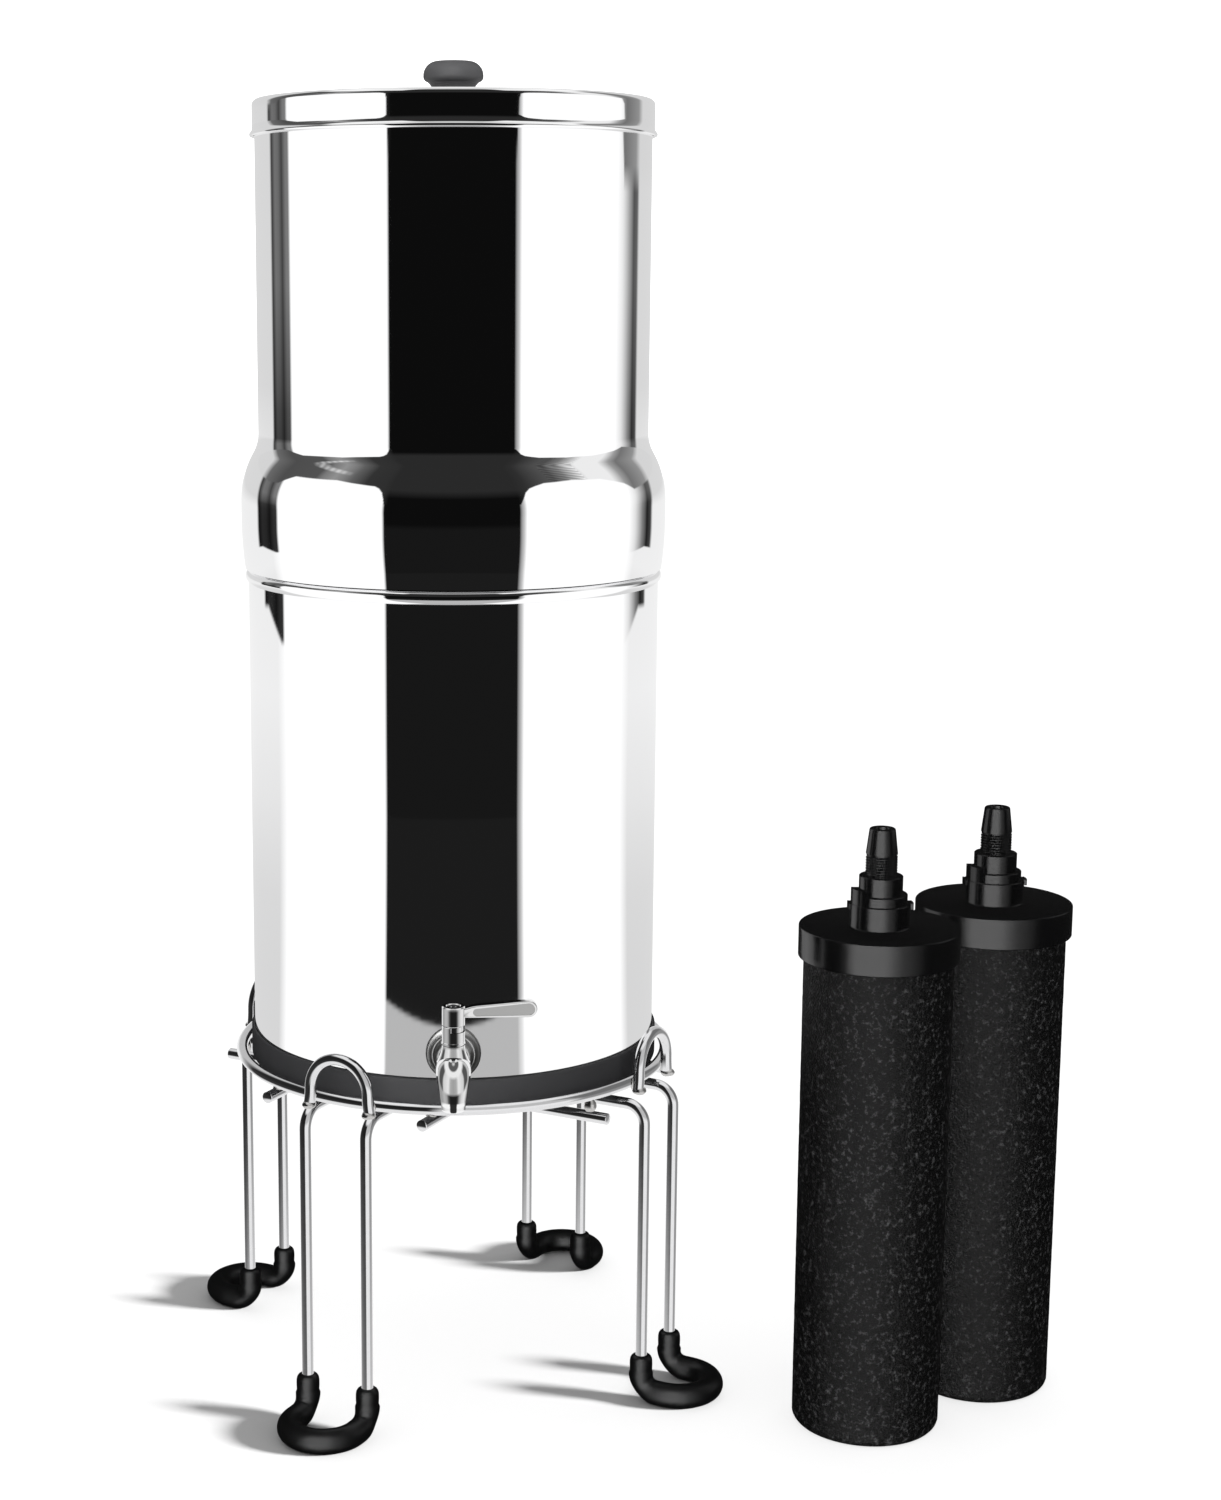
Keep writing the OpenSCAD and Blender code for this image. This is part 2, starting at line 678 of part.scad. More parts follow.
module plug_wing_nuts() {
    color("#26262a") at_holes(plugged_holes) translate([0, 0, -wing_nut_h]) difference() {
        union() {
            cylinder(r = plug_head_r - wing_t / 2, h = wing_nut_h);
            translate([-wing_span / 2, -wing_t / 2, 0]) cube([wing_span, wing_t, wing_nut_h]);
        }
        translate([0, 0, -cut]) cylinder(r = plug_shank_r + snug_gap, h = wing_nut_h + 2 * cut);
    }
}

module lid() {
    corner = [lid_r - lid_corner_r, sheet_t - lid_corner_r];
    bottom = sheet_t - lid_skirt_h;
    color("gainsboro") at_unit() translate([0, 0, lid_z]) difference() {
        union() {
            rotate_extrude() polygon(concat(
                [[0, sheet_t]],
                arc(corner, lid_corner_r, 90, 0, 6),
                [[lid_r, bottom], [lid_r - sheet_t, bottom]],
                arc(corner, lid_corner_r - sheet_t, 0, 90, 6),
                [[0, 0]]));
            translate([0, 0, bottom]) rotate_extrude()
                translate([lid_r - sheet_t + lid_bead_r, 0]) circle(r = lid_bead_r);
        }
        translate([0, 0, -cut]) cylinder(r = knob_screw_r + snug_gap, h = sheet_t + 2 * cut);
    }
}

module lid_knob() {
    head_z = knob_h - knob_head_h;
    crown_r = knob_head_h / 2;
    foot_r = knob_neck_r + sheet_t;
    color("#4a4a4e") at_unit() translate([0, 0, lid_z + sheet_t]) difference() {
        rotate_extrude() polygon(concat(
            [[0, 0], [foot_r, 0], [knob_neck_r, head_z / 2], [foot_r, head_z - sheet_t]],
            arc([knob_r - crown_r / 2, head_z + crown_r / 2], crown_r / 2, -90, 0, 4),
            arc([knob_r - crown_r, head_z + crown_r], crown_r, 0, 90, 6),
            [[0, knob_h]]));
        translate([0, 0, -cut]) cylinder(r = knob_screw_r + snug_gap, h = knob_screw_l + cut + snug_gap);
    }
}

module knob_washer() {
    color("#1c1c1e") at_unit() translate([0, 0, lid_z - sheet_t]) difference() {
        cylinder(r = 3 * knob_screw_r, h = sheet_t);
        translate([0, 0, -cut]) cylinder(r = knob_screw_r + snug_gap, h = sheet_t + 2 * cut);
    }
}

module knob_screw() {
    color("gray") at_unit() translate([0, 0, lid_z - sheet_t]) {
        cylinder(r = knob_screw_r, h = 2 * sheet_t + knob_screw_l);
        translate([0, 0, -knob_screw_r]) cylinder(r = 2 * knob_screw_r, h = knob_screw_r);
    }
}

module at_element(place) {
    at_unit() translate([place[0], place[1], 0]) children();
}

module carbon_block(place) {
    color("#141416") at_element(place) difference() {
        rotate_extrude() polygon(concat(
            [[0, 0]],
            arc([carbon_r - carbon_edge_r, carbon_edge_r], carbon_edge_r, -90, 0, 5),
            [[carbon_r, element_h - end_cap_t], [0, element_h - end_cap_t]]));
        translate([0, 0, carbon_end_t]) cylinder(r = carbon_bore_r, h = element_h);
    }
}

// The end cap and the stem are one moulding, with an ear on each side of the neck and a lug on the shoulder
module end_cap(place) {
    cap_z = element_h - end_cap_h;
    color("#202024") at_element(place) difference() {
        union() {
            translate([0, 0, cap_z]) cylinder(r = end_cap_r, h = end_cap_h);
            rotate_extrude() polygon(stem_path);
            translate([0, 0, neck_top_z - ear_h]) intersection() {
                cylinder(r = ear_r, h = ear_h);
                translate([-ear_r, -ear_w / 2, 0]) cube([2 * ear_r, ear_w, ear_h]);
            }
            translate([0, 0, shoulder_top_z]) intersection() {
                cylinder(r = stem_shoulder_r, h = lug_h);
                translate([-stem_shoulder_r, -lug_w / 2, 0]) cube([lug_w, lug_w, lug_h]);
            }
        }
        translate([0, 0, cap_z - cut]) cylinder(r = carbon_r + snug_gap, h = end_cap_h - end_cap_t + cut);
        translate([0, 0, cap_z]) cylinder(r = stem_bore_r, h = element_h);
    }
}

stand_ring();
leg(front_left, upper_layer_z);  // front_left_leg
leg(front_right, lower_layer_z);  // front_right_leg
leg(back_right, upper_layer_z);  // back_right_leg
leg(back_left, lower_layer_z);  // back_left_leg
deck_wires(front_left, upper_layer_z);  // upper_deck_wires
deck_wires(front_right, lower_layer_z);  // lower_deck_wires
cross_rods(front_left, upper_layer_z, rod_over);  // upper_cross_rods
cross_rods(front_right, lower_layer_z, short_rod_over);  // lower_cross_rods
arch(front_left);  // front_left_arch
arch(front_right);  // front_right_arch
arch(back_right);  // back_right_arch
arch(back_left);  // back_left_arch
boot(front_left);  // front_left_boot
boot(front_right);  // front_right_boot
boot(back_right);  // back_right_boot
boot(back_left);  // back_left_boot
lower_chamber();
base_ring();
tap_body();
tap_outer_washer();
tap_inner_washer();
tap_lock_nut();
tap_lever();
valve_core();
core_o_rings();
lever_screw();
upper_chamber();
blanking_plugs();
plug_washers();
plug_wing_nuts();
lid();
lid_knob();
knob_screw();
knob_washer();
carbon_block(near_place);  // near_carbon_block
end_cap(near_place);  // near_end_cap
carbon_block(far_place);  // far_carbon_block
end_cap(far_place);  // far_end_cap
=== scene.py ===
# Looks for the gravity water filter: polished chambers on a wire stand, a tap and two loose carbon elements.
# Metres throughout, +Z up, the tap faces -Y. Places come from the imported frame, sizes are named below.

import json
import math

import bmesh
import bpy
from mathutils import Matrix, Vector, noise

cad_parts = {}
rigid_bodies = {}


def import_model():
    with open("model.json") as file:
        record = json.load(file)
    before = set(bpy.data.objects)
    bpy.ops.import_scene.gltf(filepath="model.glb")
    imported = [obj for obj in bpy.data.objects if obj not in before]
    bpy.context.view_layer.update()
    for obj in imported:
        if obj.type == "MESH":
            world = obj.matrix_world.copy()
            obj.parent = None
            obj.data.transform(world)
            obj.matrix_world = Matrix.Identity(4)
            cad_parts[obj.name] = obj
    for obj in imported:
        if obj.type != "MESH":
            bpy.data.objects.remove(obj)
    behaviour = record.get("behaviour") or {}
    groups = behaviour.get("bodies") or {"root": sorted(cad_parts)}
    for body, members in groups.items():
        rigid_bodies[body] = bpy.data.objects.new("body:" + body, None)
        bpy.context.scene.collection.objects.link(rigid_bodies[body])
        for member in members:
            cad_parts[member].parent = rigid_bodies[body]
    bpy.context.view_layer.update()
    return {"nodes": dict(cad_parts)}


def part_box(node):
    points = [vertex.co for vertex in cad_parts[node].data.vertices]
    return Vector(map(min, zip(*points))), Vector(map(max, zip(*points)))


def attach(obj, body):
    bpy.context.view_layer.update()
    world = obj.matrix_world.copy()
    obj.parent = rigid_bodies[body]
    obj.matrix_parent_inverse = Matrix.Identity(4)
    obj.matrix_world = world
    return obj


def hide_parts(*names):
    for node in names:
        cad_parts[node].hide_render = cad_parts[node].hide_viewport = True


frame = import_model()
scene = bpy.context.scene

MM = 0.001
TURN = 2 * math.pi

# Camera: focal length and middle of the lens in pixels of the 1221 by 1500 photo
PHOTO_W_PX = 1221
PHOTO_H_PX = 1500
FOCAL_PX = 2562.6
LENS_MIDDLE_PX = 453.4
CAMERA_AHEAD = 1.350
EYE_Z = 0.5907
PITCH = math.radians(10.64)
SENSOR_MM = 36

# The unit's axis and its main heights, from the frame
lower_lo, lower_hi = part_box("lower_chamber")
upper_lo, upper_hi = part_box("upper_chamber")
lid_lo, lid_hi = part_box("lid")
knob_lo, knob_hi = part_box("lid_knob")
ring_lo, ring_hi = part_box("stand_ring")
rubber_lo, rubber_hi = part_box("base_ring")
UNIT = Vector(((lower_lo.x + lower_hi.x) / 2, (lower_lo.y + lower_hi.y) / 2, 0))

# Sheet metal
SHEET = 0.8 * MM
LOWER_R = 108 * MM
LOWER_CORNER = 5 * MM
RIM_BEAD = 3.75 * MM
UPPER_R = 102 * MM
NEST_DEPTH = 57 * MM
NEST_CORNER = 8 * MM
NEST_GAP = 0.5 * MM
BULGE_FOOT_R = 109.6 * MM
BULGE_RISE = 25.8 * MM
BULGE_BAND = 9.5 * MM
SHOULDER_R = 49 * MM
SHOULDER_SLOPE = math.radians(30)
TOP_BEAD = 1.5 * MM
HOLE_CIRCLE = 58 * MM
HOLE_R = 8.4 * MM
TAP_HOLE_R = 8.2 * MM
LID_CORNER = 3 * MM
LID_BEAD = 1.1 * MM
LID_OUT = 1.2 * MM
TAP_ROW = 11 * MM
BORE_CUT = 12 * MM
FLOOR_CUT = 4 * MM
LID_CUT = 6 * MM
KNOB_BORE_R = 2.05 * MM
KNOB_BORE_H = 11 * MM
KNOB_NECK_R = 10.8 * MM
KNOB_HEAD = 10.4 * MM
KNOB_LIP_R = 2.6 * MM
KNOB_CROWN_R = 7.2 * MM
KNOB_NECK_MM = ((1.2, 0), (1.4, 0.5), (0.5, 1.7), (0, 3.4), (0, 5.2), (0.5, 6.8))
RUBBER_GAP = 0.05 * MM
RUBBER_LEDGE = 14 * MM
RUBBER_CORNER = 1.6 * MM
RUBBER_T = 2 * MM

# Stand
WIRE_R = 3 * MM
LEG_ANGLE = 29
LEG_HALF = 18 * MM
LEG_OVER = 4 * MM
TOP_BEND = 10 * MM
FOOT_BEND = 9.5 * MM
FOOT_REACH = 31 * MM
ARCH_RISE = 23 * MM
ARCH_R = 16.99 * MM
ARCH_FLARE_R = 44 * MM
ARCH_FLARE = math.radians(12.28)
ROD_OFFSET = 46 * MM
ROD_HALF = 116.1 * MM
SHORT_ROD_HALF = 108.3 * MM
WELD_SINK = 0.3 * MM
BOOT_R = 6.5 * MM
BOOT_PINCH = 0.55 * MM
CUFF_JOIN = 1 * MM
CUFF_Z_MM = (25.9, 25.6, 25.0, 24.0, 22.6, 20.5, 18.5, 17.2)
CUFF_R_MM = (3.3, 4.3, 5.1, 5.7, 5.95, 6.0, 5.95, 5.85)
ROD_CHAMFER = 0.4 * MM
ROD_END_R = WIRE_R - 0.5 * MM
BOOT_FLAT = 0.5 * MM

# Tap, measured from where its centre line meets the barrel's axis
TAP_AHEAD = 136 * MM
TAP_Z = 202.8 * MM
BARREL_R = 5.7 * MM
BARREL_H = 22 * MM
CAP_GAP = 0.3 * MM
CAP_H = 9.8 * MM
LEVER_REACH = 41.2 * MM
LEVER_END_R = 4.2 * MM
LEVER_ROOT = 2.5 * MM
LEVER_DROP = 3.2 * MM
LEVER_RISE = 2 * MM
LEVER_T = 5 * MM
LEVER_EDGE = 0.7 * MM
RECESS_DEPTH = 0.45 * MM
RECESS_RIM = 1.15 * MM
RECESS_START = 5.8 * MM
RECESS_CUT = 2 * MM
WASHER_T = 2 * MM
CORE_BORE_R = 3.8 * MM
CORE_BORE_FLOOR = 6 * MM
SPOUT_X = 12 * MM
SHANK_IN = 20 * MM
SHANK_BORE_R = 3 * MM
SHANK_ROOT_R = 7.3 * MM
SHANK_CREST_R = 7.9 * MM
SHANK_END_R = 7.0 * MM
SHANK_PITCH = 1.5 * MM
SCREW_HOLE_R = 3.05 * MM
STOP_LO = Vector((4.85 * MM, -0.8 * MM, BARREL_H - 2.4 * MM))
STOP_HI = Vector((5.65 * MM, 0.8 * MM, BARREL_H + CAP_GAP + 1 * MM))

# The spout's centre line: ahead of the barrel's axis, height and radius, then its lip, in mm
SPOUT_MM = ((26, 0, 7.3), (18, 0, 7.4), (10, 0, 7.8), (4, 0, 8.5), (-0.8, -0.2, 8.7), (-4.8, -1.2, 8.65),
            (-8.4, -3.7, 8.1), (-10.9, -7.4, 7.3), (-11.9, -11.5, 6.55), (-12, -14.6, 6.1), (-12, -16.6, 5.9))
LIP_MM = ((-17.2, 5.85), (-17.5, 5.6), (-17.5, 4.9), (-17.1, 4.6), (-11, 4.4))
# Radius and height up the barrel, and radius and distance from the wall on the flange, in mm
BARREL_MM = ((8.3, 3.6), (7.5, 5.2), (6.7, 7.2), (6.1, 9.2), (5.75, 11.2), (5.7, 12.3), (5.35, 12.4),
             (5.35, 12.9), (5.95, 13.0), (5.95, 13.8), (5.7, 14.0))
FLANGE_MM = ((0, 12), (7.4, 12), (7.6, 9.4), (8.3, 7.9), (9.6, 6.5), (10.3, 5.9), (10.7, 5.2), (10.75, 4.0),
             (11.2, 3.3), (13.0, 2.3), (13.7, 1.9), (14.0, 1.4), (14.0, 0.5), (13.5, 0), (0, 0))

# Filter elements
CARBON_R = 37.8 * MM
CARBON_EDGE = 4 * MM
CAP_R = 40.5 * MM
CAP_TOP = 265 * MM
CAP_DEEP = 16 * MM
NECK_R = 15.2 * MM
NECK_TOP = 277.2 * MM
SHOULDER_R_STEM = 13.5 * MM
SHOULDER_TOP = 281.9 * MM
COLLAR_R = 11 * MM
COLLAR_TOP = 291.2 * MM
THREAD_R = 8 * MM
THREAD_TOP = 302.4 * MM
TIP_TOP = 315.4 * MM
STEM_BORE = 3.5 * MM
CAP_T = 4 * MM
CAP_PLAY = 0.05 * MM
BLOCK_BORE_R = 10 * MM
BLOCK_FLOOR = 20 * MM
EDGE_R = 0.3 * MM
THREAD_PITCH = 1.42 * MM
THREAD_DEPTH = 0.85 * MM
THREAD_ROWS = 110
THREAD_SIDES = 72
# The two lugs and the ear on the cap: heights, radii in mm and angles in degrees
LUGS_MM = (((274.3, 277.2), (14.0, 16.6), (-14, 14)), ((274.3, 277.2), (14.0, 16.6), (166, 194)),
           ((277.0, 284.9), (10.2, 14.9), (176, 236)))


# Outlines and meshes

def arc(cx, cy, r, start, end, steps):
    """Points of an arc, with its angles in degrees."""
    found = []
    for i in range(steps + 1):
        a = math.radians(start + (end - start) * i / steps)
        found.append((cx + r * math.cos(a), cy + r * math.sin(a)))
    return found


def straight(start, end, steps):
    """Points between two corners, without the corners."""
    return [tuple(s + (e - s) * i / steps for s, e in zip(start, end)) for i in range(1, steps)]


def polar(r, angle, z):
    """A point at a radius, an angle and a height."""
    return Vector((r * math.cos(angle), r * math.sin(angle), z))


def compass(r, azimuth, z):
    """A point at a radius, an azimuth in degrees (0 ahead of the tap, positive to the right) and a height."""
    a = math.radians(azimuth)
    return Vector((r * math.sin(a), -r * math.cos(a), z))


def mark_sharp(bm, sharp):
    """Shades smooth only across edges flatter than an angle in degrees."""
    for edge in bm.edges:
        if len(edge.link_faces) == 2:
            edge.smooth = edge.calc_face_angle(0) < math.radians(sharp)


def linked(name, data):
    """A new object in the scene."""
    obj = bpy.data.objects.new(name, data)
    scene.collection.objects.link(obj)
    return obj


def new_object(name, bm, material, sharp=40, place=None):
    """An object from bmesh data, moved to its place and smooth but for its sharp edges."""
    if place is not None:
        bm.transform(Matrix.Translation(place))
    bmesh.ops.recalc_face_normals(bm, faces=bm.faces)
    for face in bm.faces:
        face.smooth = True
    mark_sharp(bm, sharp)
    mesh = bpy.data.meshes.new(name)
    bm.to_mesh(mesh)
    bm.free()
    obj = linked(name, mesh)
    mesh.materials.append(material)
    return obj


def dress(obj, body, slot, *nodes):
    """The piece moves with a body and stands for CAD nodes, which it hides. The slot is not used."""
    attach(obj, body)
    if nodes:
        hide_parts(*nodes)
    return obj


def revolve(name, outline, material, place, segments=256, sharp=40, turn=None):
    """A closed outline of (radius, height) points turned about a vertical axis through place."""
    bm = bmesh.new()
    rings = []
    for r, z in outline:
        count = 1 if r < 1e-7 else segments
        rings.append([bm.verts.new(polar(r, TURN * i / segments, z)) for i in range(count)])
    for here, there in zip(rings, rings[1:] + rings[:1]):
        for i in range(segments):
            j = (i + 1) % segments
            loop = [here[i % len(here)], here[j % len(here)], there[j % len(there)], there[i % len(there)]]
            corners = list(dict.fromkeys(loop))
            if len(corners) > 2:
                bm.faces.new(corners)
    if turn is not None:
        bm.transform(turn)
    return new_object(name, bm, material, sharp, place)


def sweep(bm, path, radii, sides=20, closed=False, twist_up=Vector((0, 0, 1))):
    """A tube of changing radius along a path. Its ends are closed unless the path is."""
    count = len(path)
    tangents = []
    for i in range(count):
        before = path[(i - 1) % count] if closed or i else path[i]
        after = path[(i + 1) % count] if closed or i < count - 1 else path[i]
        tangents.append((after - before).normalized())
    side = tangents[0].cross(twist_up)
    if side.length < 0.1:
        side = tangents[0].cross(Vector((1, 0, 0)))
    side.normalize()
    turns = [TURN * k / sides for k in range(sides)]
    rings = []
    for i in range(count):
        side = (side - tangents[i] * side.dot(tangents[i])).normalized()
        up = tangents[i].cross(side)
        outward = [side * math.cos(t) + up * math.sin(t) for t in turns]
        rings.append([bm.verts.new(path[i] + radii[i] * out) for out in outward])
    pairs = list(zip(rings, rings[1:]))
    if closed:
        pairs.append((rings[-1], rings[0]))
    for here, there in pairs:
        shift = 0
        if closed and there is rings[0]:
            shift = min(range(sides), key=lambda s: (there[s].co - here[0].co).length)
        for k in range(sides):
            m = (k + 1) % sides
            bm.faces.new((here[k], here[m], there[(m + shift) % sides], there[(k + shift) % sides]))
    if not closed:
        bm.faces.new(rings[0])
        bm.faces.new(rings[-1])
    return rings


def blob(bm, middle, size, seed, rough=0.12):
    """A lump of weld: a small ball, squashed and uneven."""
    made = bmesh.ops.create_icosphere(bm, subdivisions=3, radius=1)
    for v in made["verts"]:
        n = noise.noise(v.co * 1.7 + Vector((seed * 3.1, seed * 1.7, seed)))
        v.co = Vector(middle) + v.co * Vector(size) * (1 + rough * n)


def wedge(bm, heights, radii, angles, parts):
    """A block between two heights, two radii and two angles in degrees."""
    start, end = angles
    turns = [math.radians(start + (end - start) * i / parts) for i in range(parts + 1)]
    rows = [[bm.verts.new(polar(r, a, z)) for a in turns] for z in heights for r in radii]
    low_in, low_out, high_in, high_out = rows
    for i in range(parts):
        bm.faces.new((low_in[i], low_in[i + 1], low_out[i + 1], low_out[i]))
        bm.faces.new((high_in[i], high_out[i], high_out[i + 1], high_in[i + 1]))
        bm.faces.new((low_in[i], high_in[i], high_in[i + 1], low_in[i + 1]))
        bm.faces.new((low_out[i], low_out[i + 1], high_out[i + 1], high_out[i]))
    for i in (0, parts):
        bm.faces.new((low_in[i], low_out[i], high_out[i], high_in[i]))


def slab(outline, y, depth):
    """A flat outline in x and z, drawn at y and given a depth."""
    bm = bmesh.new()
    face = bm.faces.new([bm.verts.new((x, y, z)) for x, z in outline])
    made = bmesh.ops.extrude_face_region(bm, geom=[face])
    moved = [g for g in made["geom"] if isinstance(g, bmesh.types.BMVert)]
    bmesh.ops.translate(bm, verts=moved, vec=(0, depth, 0))
    return bm


def cut(obj, cutter, sharp=35, transfer=False):
    """Cuts one mesh out of another, removes the cutter and marks the new sharp edges."""
    knife = obj.modifiers.new("cut", "BOOLEAN")
    knife.operation = "DIFFERENCE"
    knife.object = cutter
    knife.solver = "EXACT"
    if transfer:
        knife.material_mode = "TRANSFER"
    bpy.context.view_layer.update()
    made = bpy.data.meshes.new_from_object(obj.evaluated_get(bpy.context.evaluated_depsgraph_get()))
    obj.modifiers.clear()
    bm = bmesh.new()
    bm.from_mesh(made)
    mark_sharp(bm, sharp)
    bm.to_mesh(made)
    bm.free()
    obj.data = made
    bpy.data.objects.remove(cutter)


# Materials

def node_material(name):
    """A new material, its shader, and functions that add a node and link two sockets."""
    material = bpy.data.materials.new(name)
    material.use_nodes = True
    tree = material.node_tree
    shader = tree.nodes["Principled BSDF"]

    def add(kind, **values):
        node = tree.nodes.new(kind)
        for key, value in values.items():
            if key in node.inputs:
                node.inputs[key].default_value = value
            else:
                setattr(node, key, value)
        return node

    return material, shader, add, tree.links.new


def surface(name, color, metallic, roughness, roughness_spread=0.0, grain=200.0, bump=0.0,
            stretch=(1, 1, 1), shade=0.0, specular=0.5, detail=3.0):
    """A surface whose tone, roughness and bump follow noise of a real size: grain is its waves per metre."""
    material, shader, add, link = node_material(name)
    shader.inputs["Metallic"].default_value = metallic
    shader.inputs["Specular IOR Level"].default_value = specular
    place = add("ShaderNodeTexCoord")
    mapping = add("ShaderNodeMapping", Scale=stretch)
    link(place.outputs["Object"], mapping.inputs["Vector"])
    cloud = add("ShaderNodeTexNoise", Scale=grain, Detail=detail, Roughness=0.6)
    link(mapping.outputs["Vector"], cloud.inputs["Vector"])
    tone = add("ShaderNodeMixRGB", Color1=[c * (1 - shade) for c in color] + [1],
               Color2=[min(1, c * (1 + shade)) for c in color] + [1])
    link(cloud.outputs["Fac"], tone.inputs["Fac"])
    link(tone.outputs["Color"], shader.inputs["Base Color"])
    spread = add("ShaderNodeMapRange")
    spread.inputs["To Min"].default_value = max(0, roughness - roughness_spread)
    spread.inputs["To Max"].default_value = roughness + roughness_spread
    link(cloud.outputs["Fac"], spread.inputs["Value"])
    link(spread.outputs["Result"], shader.inputs["Roughness"])
    if bump:
        relief = add("ShaderNodeBump", Strength=1.0, Distance=bump)
        link(cloud.outputs["Fac"], relief.inputs["Height"])
        link(relief.outputs["Normal"], shader.inputs["Normal"])
    return material


def carbon_material():
    """Pressed carbon: a fine grain of pits and bright specks on near black; the bright specks are painted
    glints off the grains.
    """
    material, shader, add, link = node_material("pressed_carbon")
    place = add("ShaderNodeTexCoord")
    grains = add("ShaderNodeTexVoronoi", Scale=900.0, Randomness=1.0)
    coarse = add("ShaderNodeTexNoise", Scale=420.0, Detail=4.0, Roughness=0.7)
    patches = add("ShaderNodeTexNoise", Scale=28.0, Detail=3.0, Roughness=0.5)
    for texture in (grains, coarse, patches):
        link(place.outputs["Object"], texture.inputs["Vector"])
    # Painted glints: bright specks put into the near black colour where light would glint off the grains.
    painted_glints = add("ShaderNodeMapRange")
    painted_glints.inputs["From Min"].default_value = 0.54
    painted_glints.inputs["From Max"].default_value = 0.78
    link(coarse.outputs["Fac"], painted_glints.inputs["Value"])
    tone = add("ShaderNodeMixRGB", Color1=(0.0006, 0.0006, 0.0007, 1), Color2=(0.085, 0.086, 0.088, 1))
    link(painted_glints.outputs["Result"], tone.inputs["Fac"])
    wear = add("ShaderNodeMixRGB", blend_type="MULTIPLY", Fac=0.35)
    link(tone.outputs["Color"], wear.inputs["Color1"])
    link(patches.outputs["Fac"], wear.inputs["Color2"])
    link(wear.outputs["Color"], shader.inputs["Base Color"])
    shader.inputs["Roughness"].default_value = 0.55
    shader.inputs["Specular IOR Level"].default_value = 0.22
    height = add("ShaderNodeMath", operation="ADD")
    link(grains.outputs["Distance"], height.inputs[0])
    link(coarse.outputs["Fac"], height.inputs[1])
    relief = add("ShaderNodeBump", Strength=0.9, Distance=0.5 * MM)
    link(height.outputs["Value"], relief.inputs["Height"])
    link(relief.outputs["Normal"], shader.inputs["Normal"])
    return material


def glow_material(name):
    """Light of the studio: its brightness is painted on the mesh."""
    material, shader, add, link = node_material(name)
    tree = material.node_tree
    tree.nodes.remove(shader)
    paint = add("ShaderNodeAttribute", attribute_name="glow")
    light = add("ShaderNodeEmission", Strength=1)
    both = add("ShaderNodeAddShader")
    link(paint.outputs["Color"], light.inputs["Color"])
    link(light.outputs["Emission"], both.inputs[0])
    link(add("ShaderNodeBsdfTransparent").outputs["BSDF"], both.inputs[1])
    link(both.outputs["Shader"], tree.nodes["Material Output"].inputs["Surface"])
    return material


mirror_steel = surface("mirror_steel", (0.93, 0.93, 0.935), 1.0, 0.022, 0.012, grain=9, bump=0.02 * MM,
                       stretch=(1, 1, 0.35))
lid_steel = surface("lid_steel", (0.92, 0.92, 0.925), 1.0, 0.03, 0.015, grain=12, bump=0.015 * MM)
wire_steel = surface("wire_steel", (0.84, 0.84, 0.85), 1.0, 0.085, 0.035, grain=260, bump=0.006 * MM,
                     shade=0.05)
weld_steel = surface("weld_steel", (0.62, 0.61, 0.60), 1.0, 0.22, 0.1, grain=900, bump=0.06 * MM, shade=0.25)
tap_steel = surface("tap_steel", (0.82, 0.82, 0.82), 1.0, 0.05, 0.02, grain=120, bump=0.01 * MM, shade=0.03)
satin_steel = surface("satin_steel", (0.56, 0.56, 0.555), 1.0, 0.34, 0.06, grain=2500, bump=0.01 * MM,
                      shade=0.12)
turned_steel = surface("turned_steel", (0.55, 0.55, 0.55), 1.0, 0.25, 0.08, grain=1200, bump=0.01 * MM,
                       shade=0.1)
black_rubber = surface("black_rubber", (0.0025, 0.0025, 0.0028), 0.0, 0.36, 0.08, grain=700, bump=0.03 * MM,
                       shade=0.3, specular=0.45)
grey_rubber = surface("grey_rubber", (0.026, 0.026, 0.028), 0.0, 0.55, 0.06, grain=900, bump=0.02 * MM,
                      shade=0.15, specular=0.35)
knob_plastic = surface("knob_plastic", (0.075, 0.075, 0.078), 0.0, 0.50, 0.05, grain=1500, bump=0.012 * MM,
                       shade=0.1, specular=0.4)
cap_plastic = surface("cap_plastic", (0.002, 0.002, 0.0022), 0.0, 0.20, 0.05, grain=500, bump=0.01 * MM,
                      stretch=(1, 1, 0.15), shade=0.2)
plug_plastic = surface("plug_plastic", (0.02, 0.02, 0.022), 0.0, 0.42, 0.05, grain=900, bump=0.01 * MM,
                       shade=0.15)
carbon = carbon_material()


# Chambers

def lower_chamber():
    """The lower chamber, with its rolled rim and the hole for the tap under the flange."""
    base = lower_lo.z
    bead_z = lower_hi.z - RIM_BEAD
    bead_r = lower_hi.x - UNIT.x - RIM_BEAD
    inner = LOWER_R - SHEET
    corner = (LOWER_R - LOWER_CORNER, base + LOWER_CORNER)
    meet = math.degrees(math.acos((LOWER_R - bead_r) / RIM_BEAD))
    meet_in = math.degrees(math.acos((inner - bead_r) / RIM_BEAD))
    tap_rows = [TAP_Z - TAP_ROW, TAP_Z + TAP_ROW]
    wall_top = bead_z - RIM_BEAD * math.sin(math.radians(meet))
    outline = [(0, base)] + straight((0, base), (corner[0], base), 8)
    outline += arc(*corner, LOWER_CORNER, -90, 0, 10)
    outline += [(LOWER_R, z) for z in tap_rows]
    outline += straight((LOWER_R, tap_rows[1]), (LOWER_R, wall_top), 10)
    outline += arc(bead_r, bead_z, RIM_BEAD, -meet, 360 - meet_in, 36)
    outline += straight((inner, wall_top), (inner, tap_rows[1]), 8)
    outline += [(inner, z) for z in reversed(tap_rows)]
    outline += arc(*corner, LOWER_CORNER - SHEET, 0, -90, 6)
    outline += [(0, base + SHEET)]
    chamber = revolve("lower_chamber_shell", outline, mirror_steel, UNIT, segments=360)
    cut_bores(chamber, [(UNIT + Vector((0, -LOWER_R, TAP_Z)), "Y", TAP_HOLE_R, BORE_CUT)])
    return dress(chamber, "lower_chamber", "polished_steel", "lower_chamber")


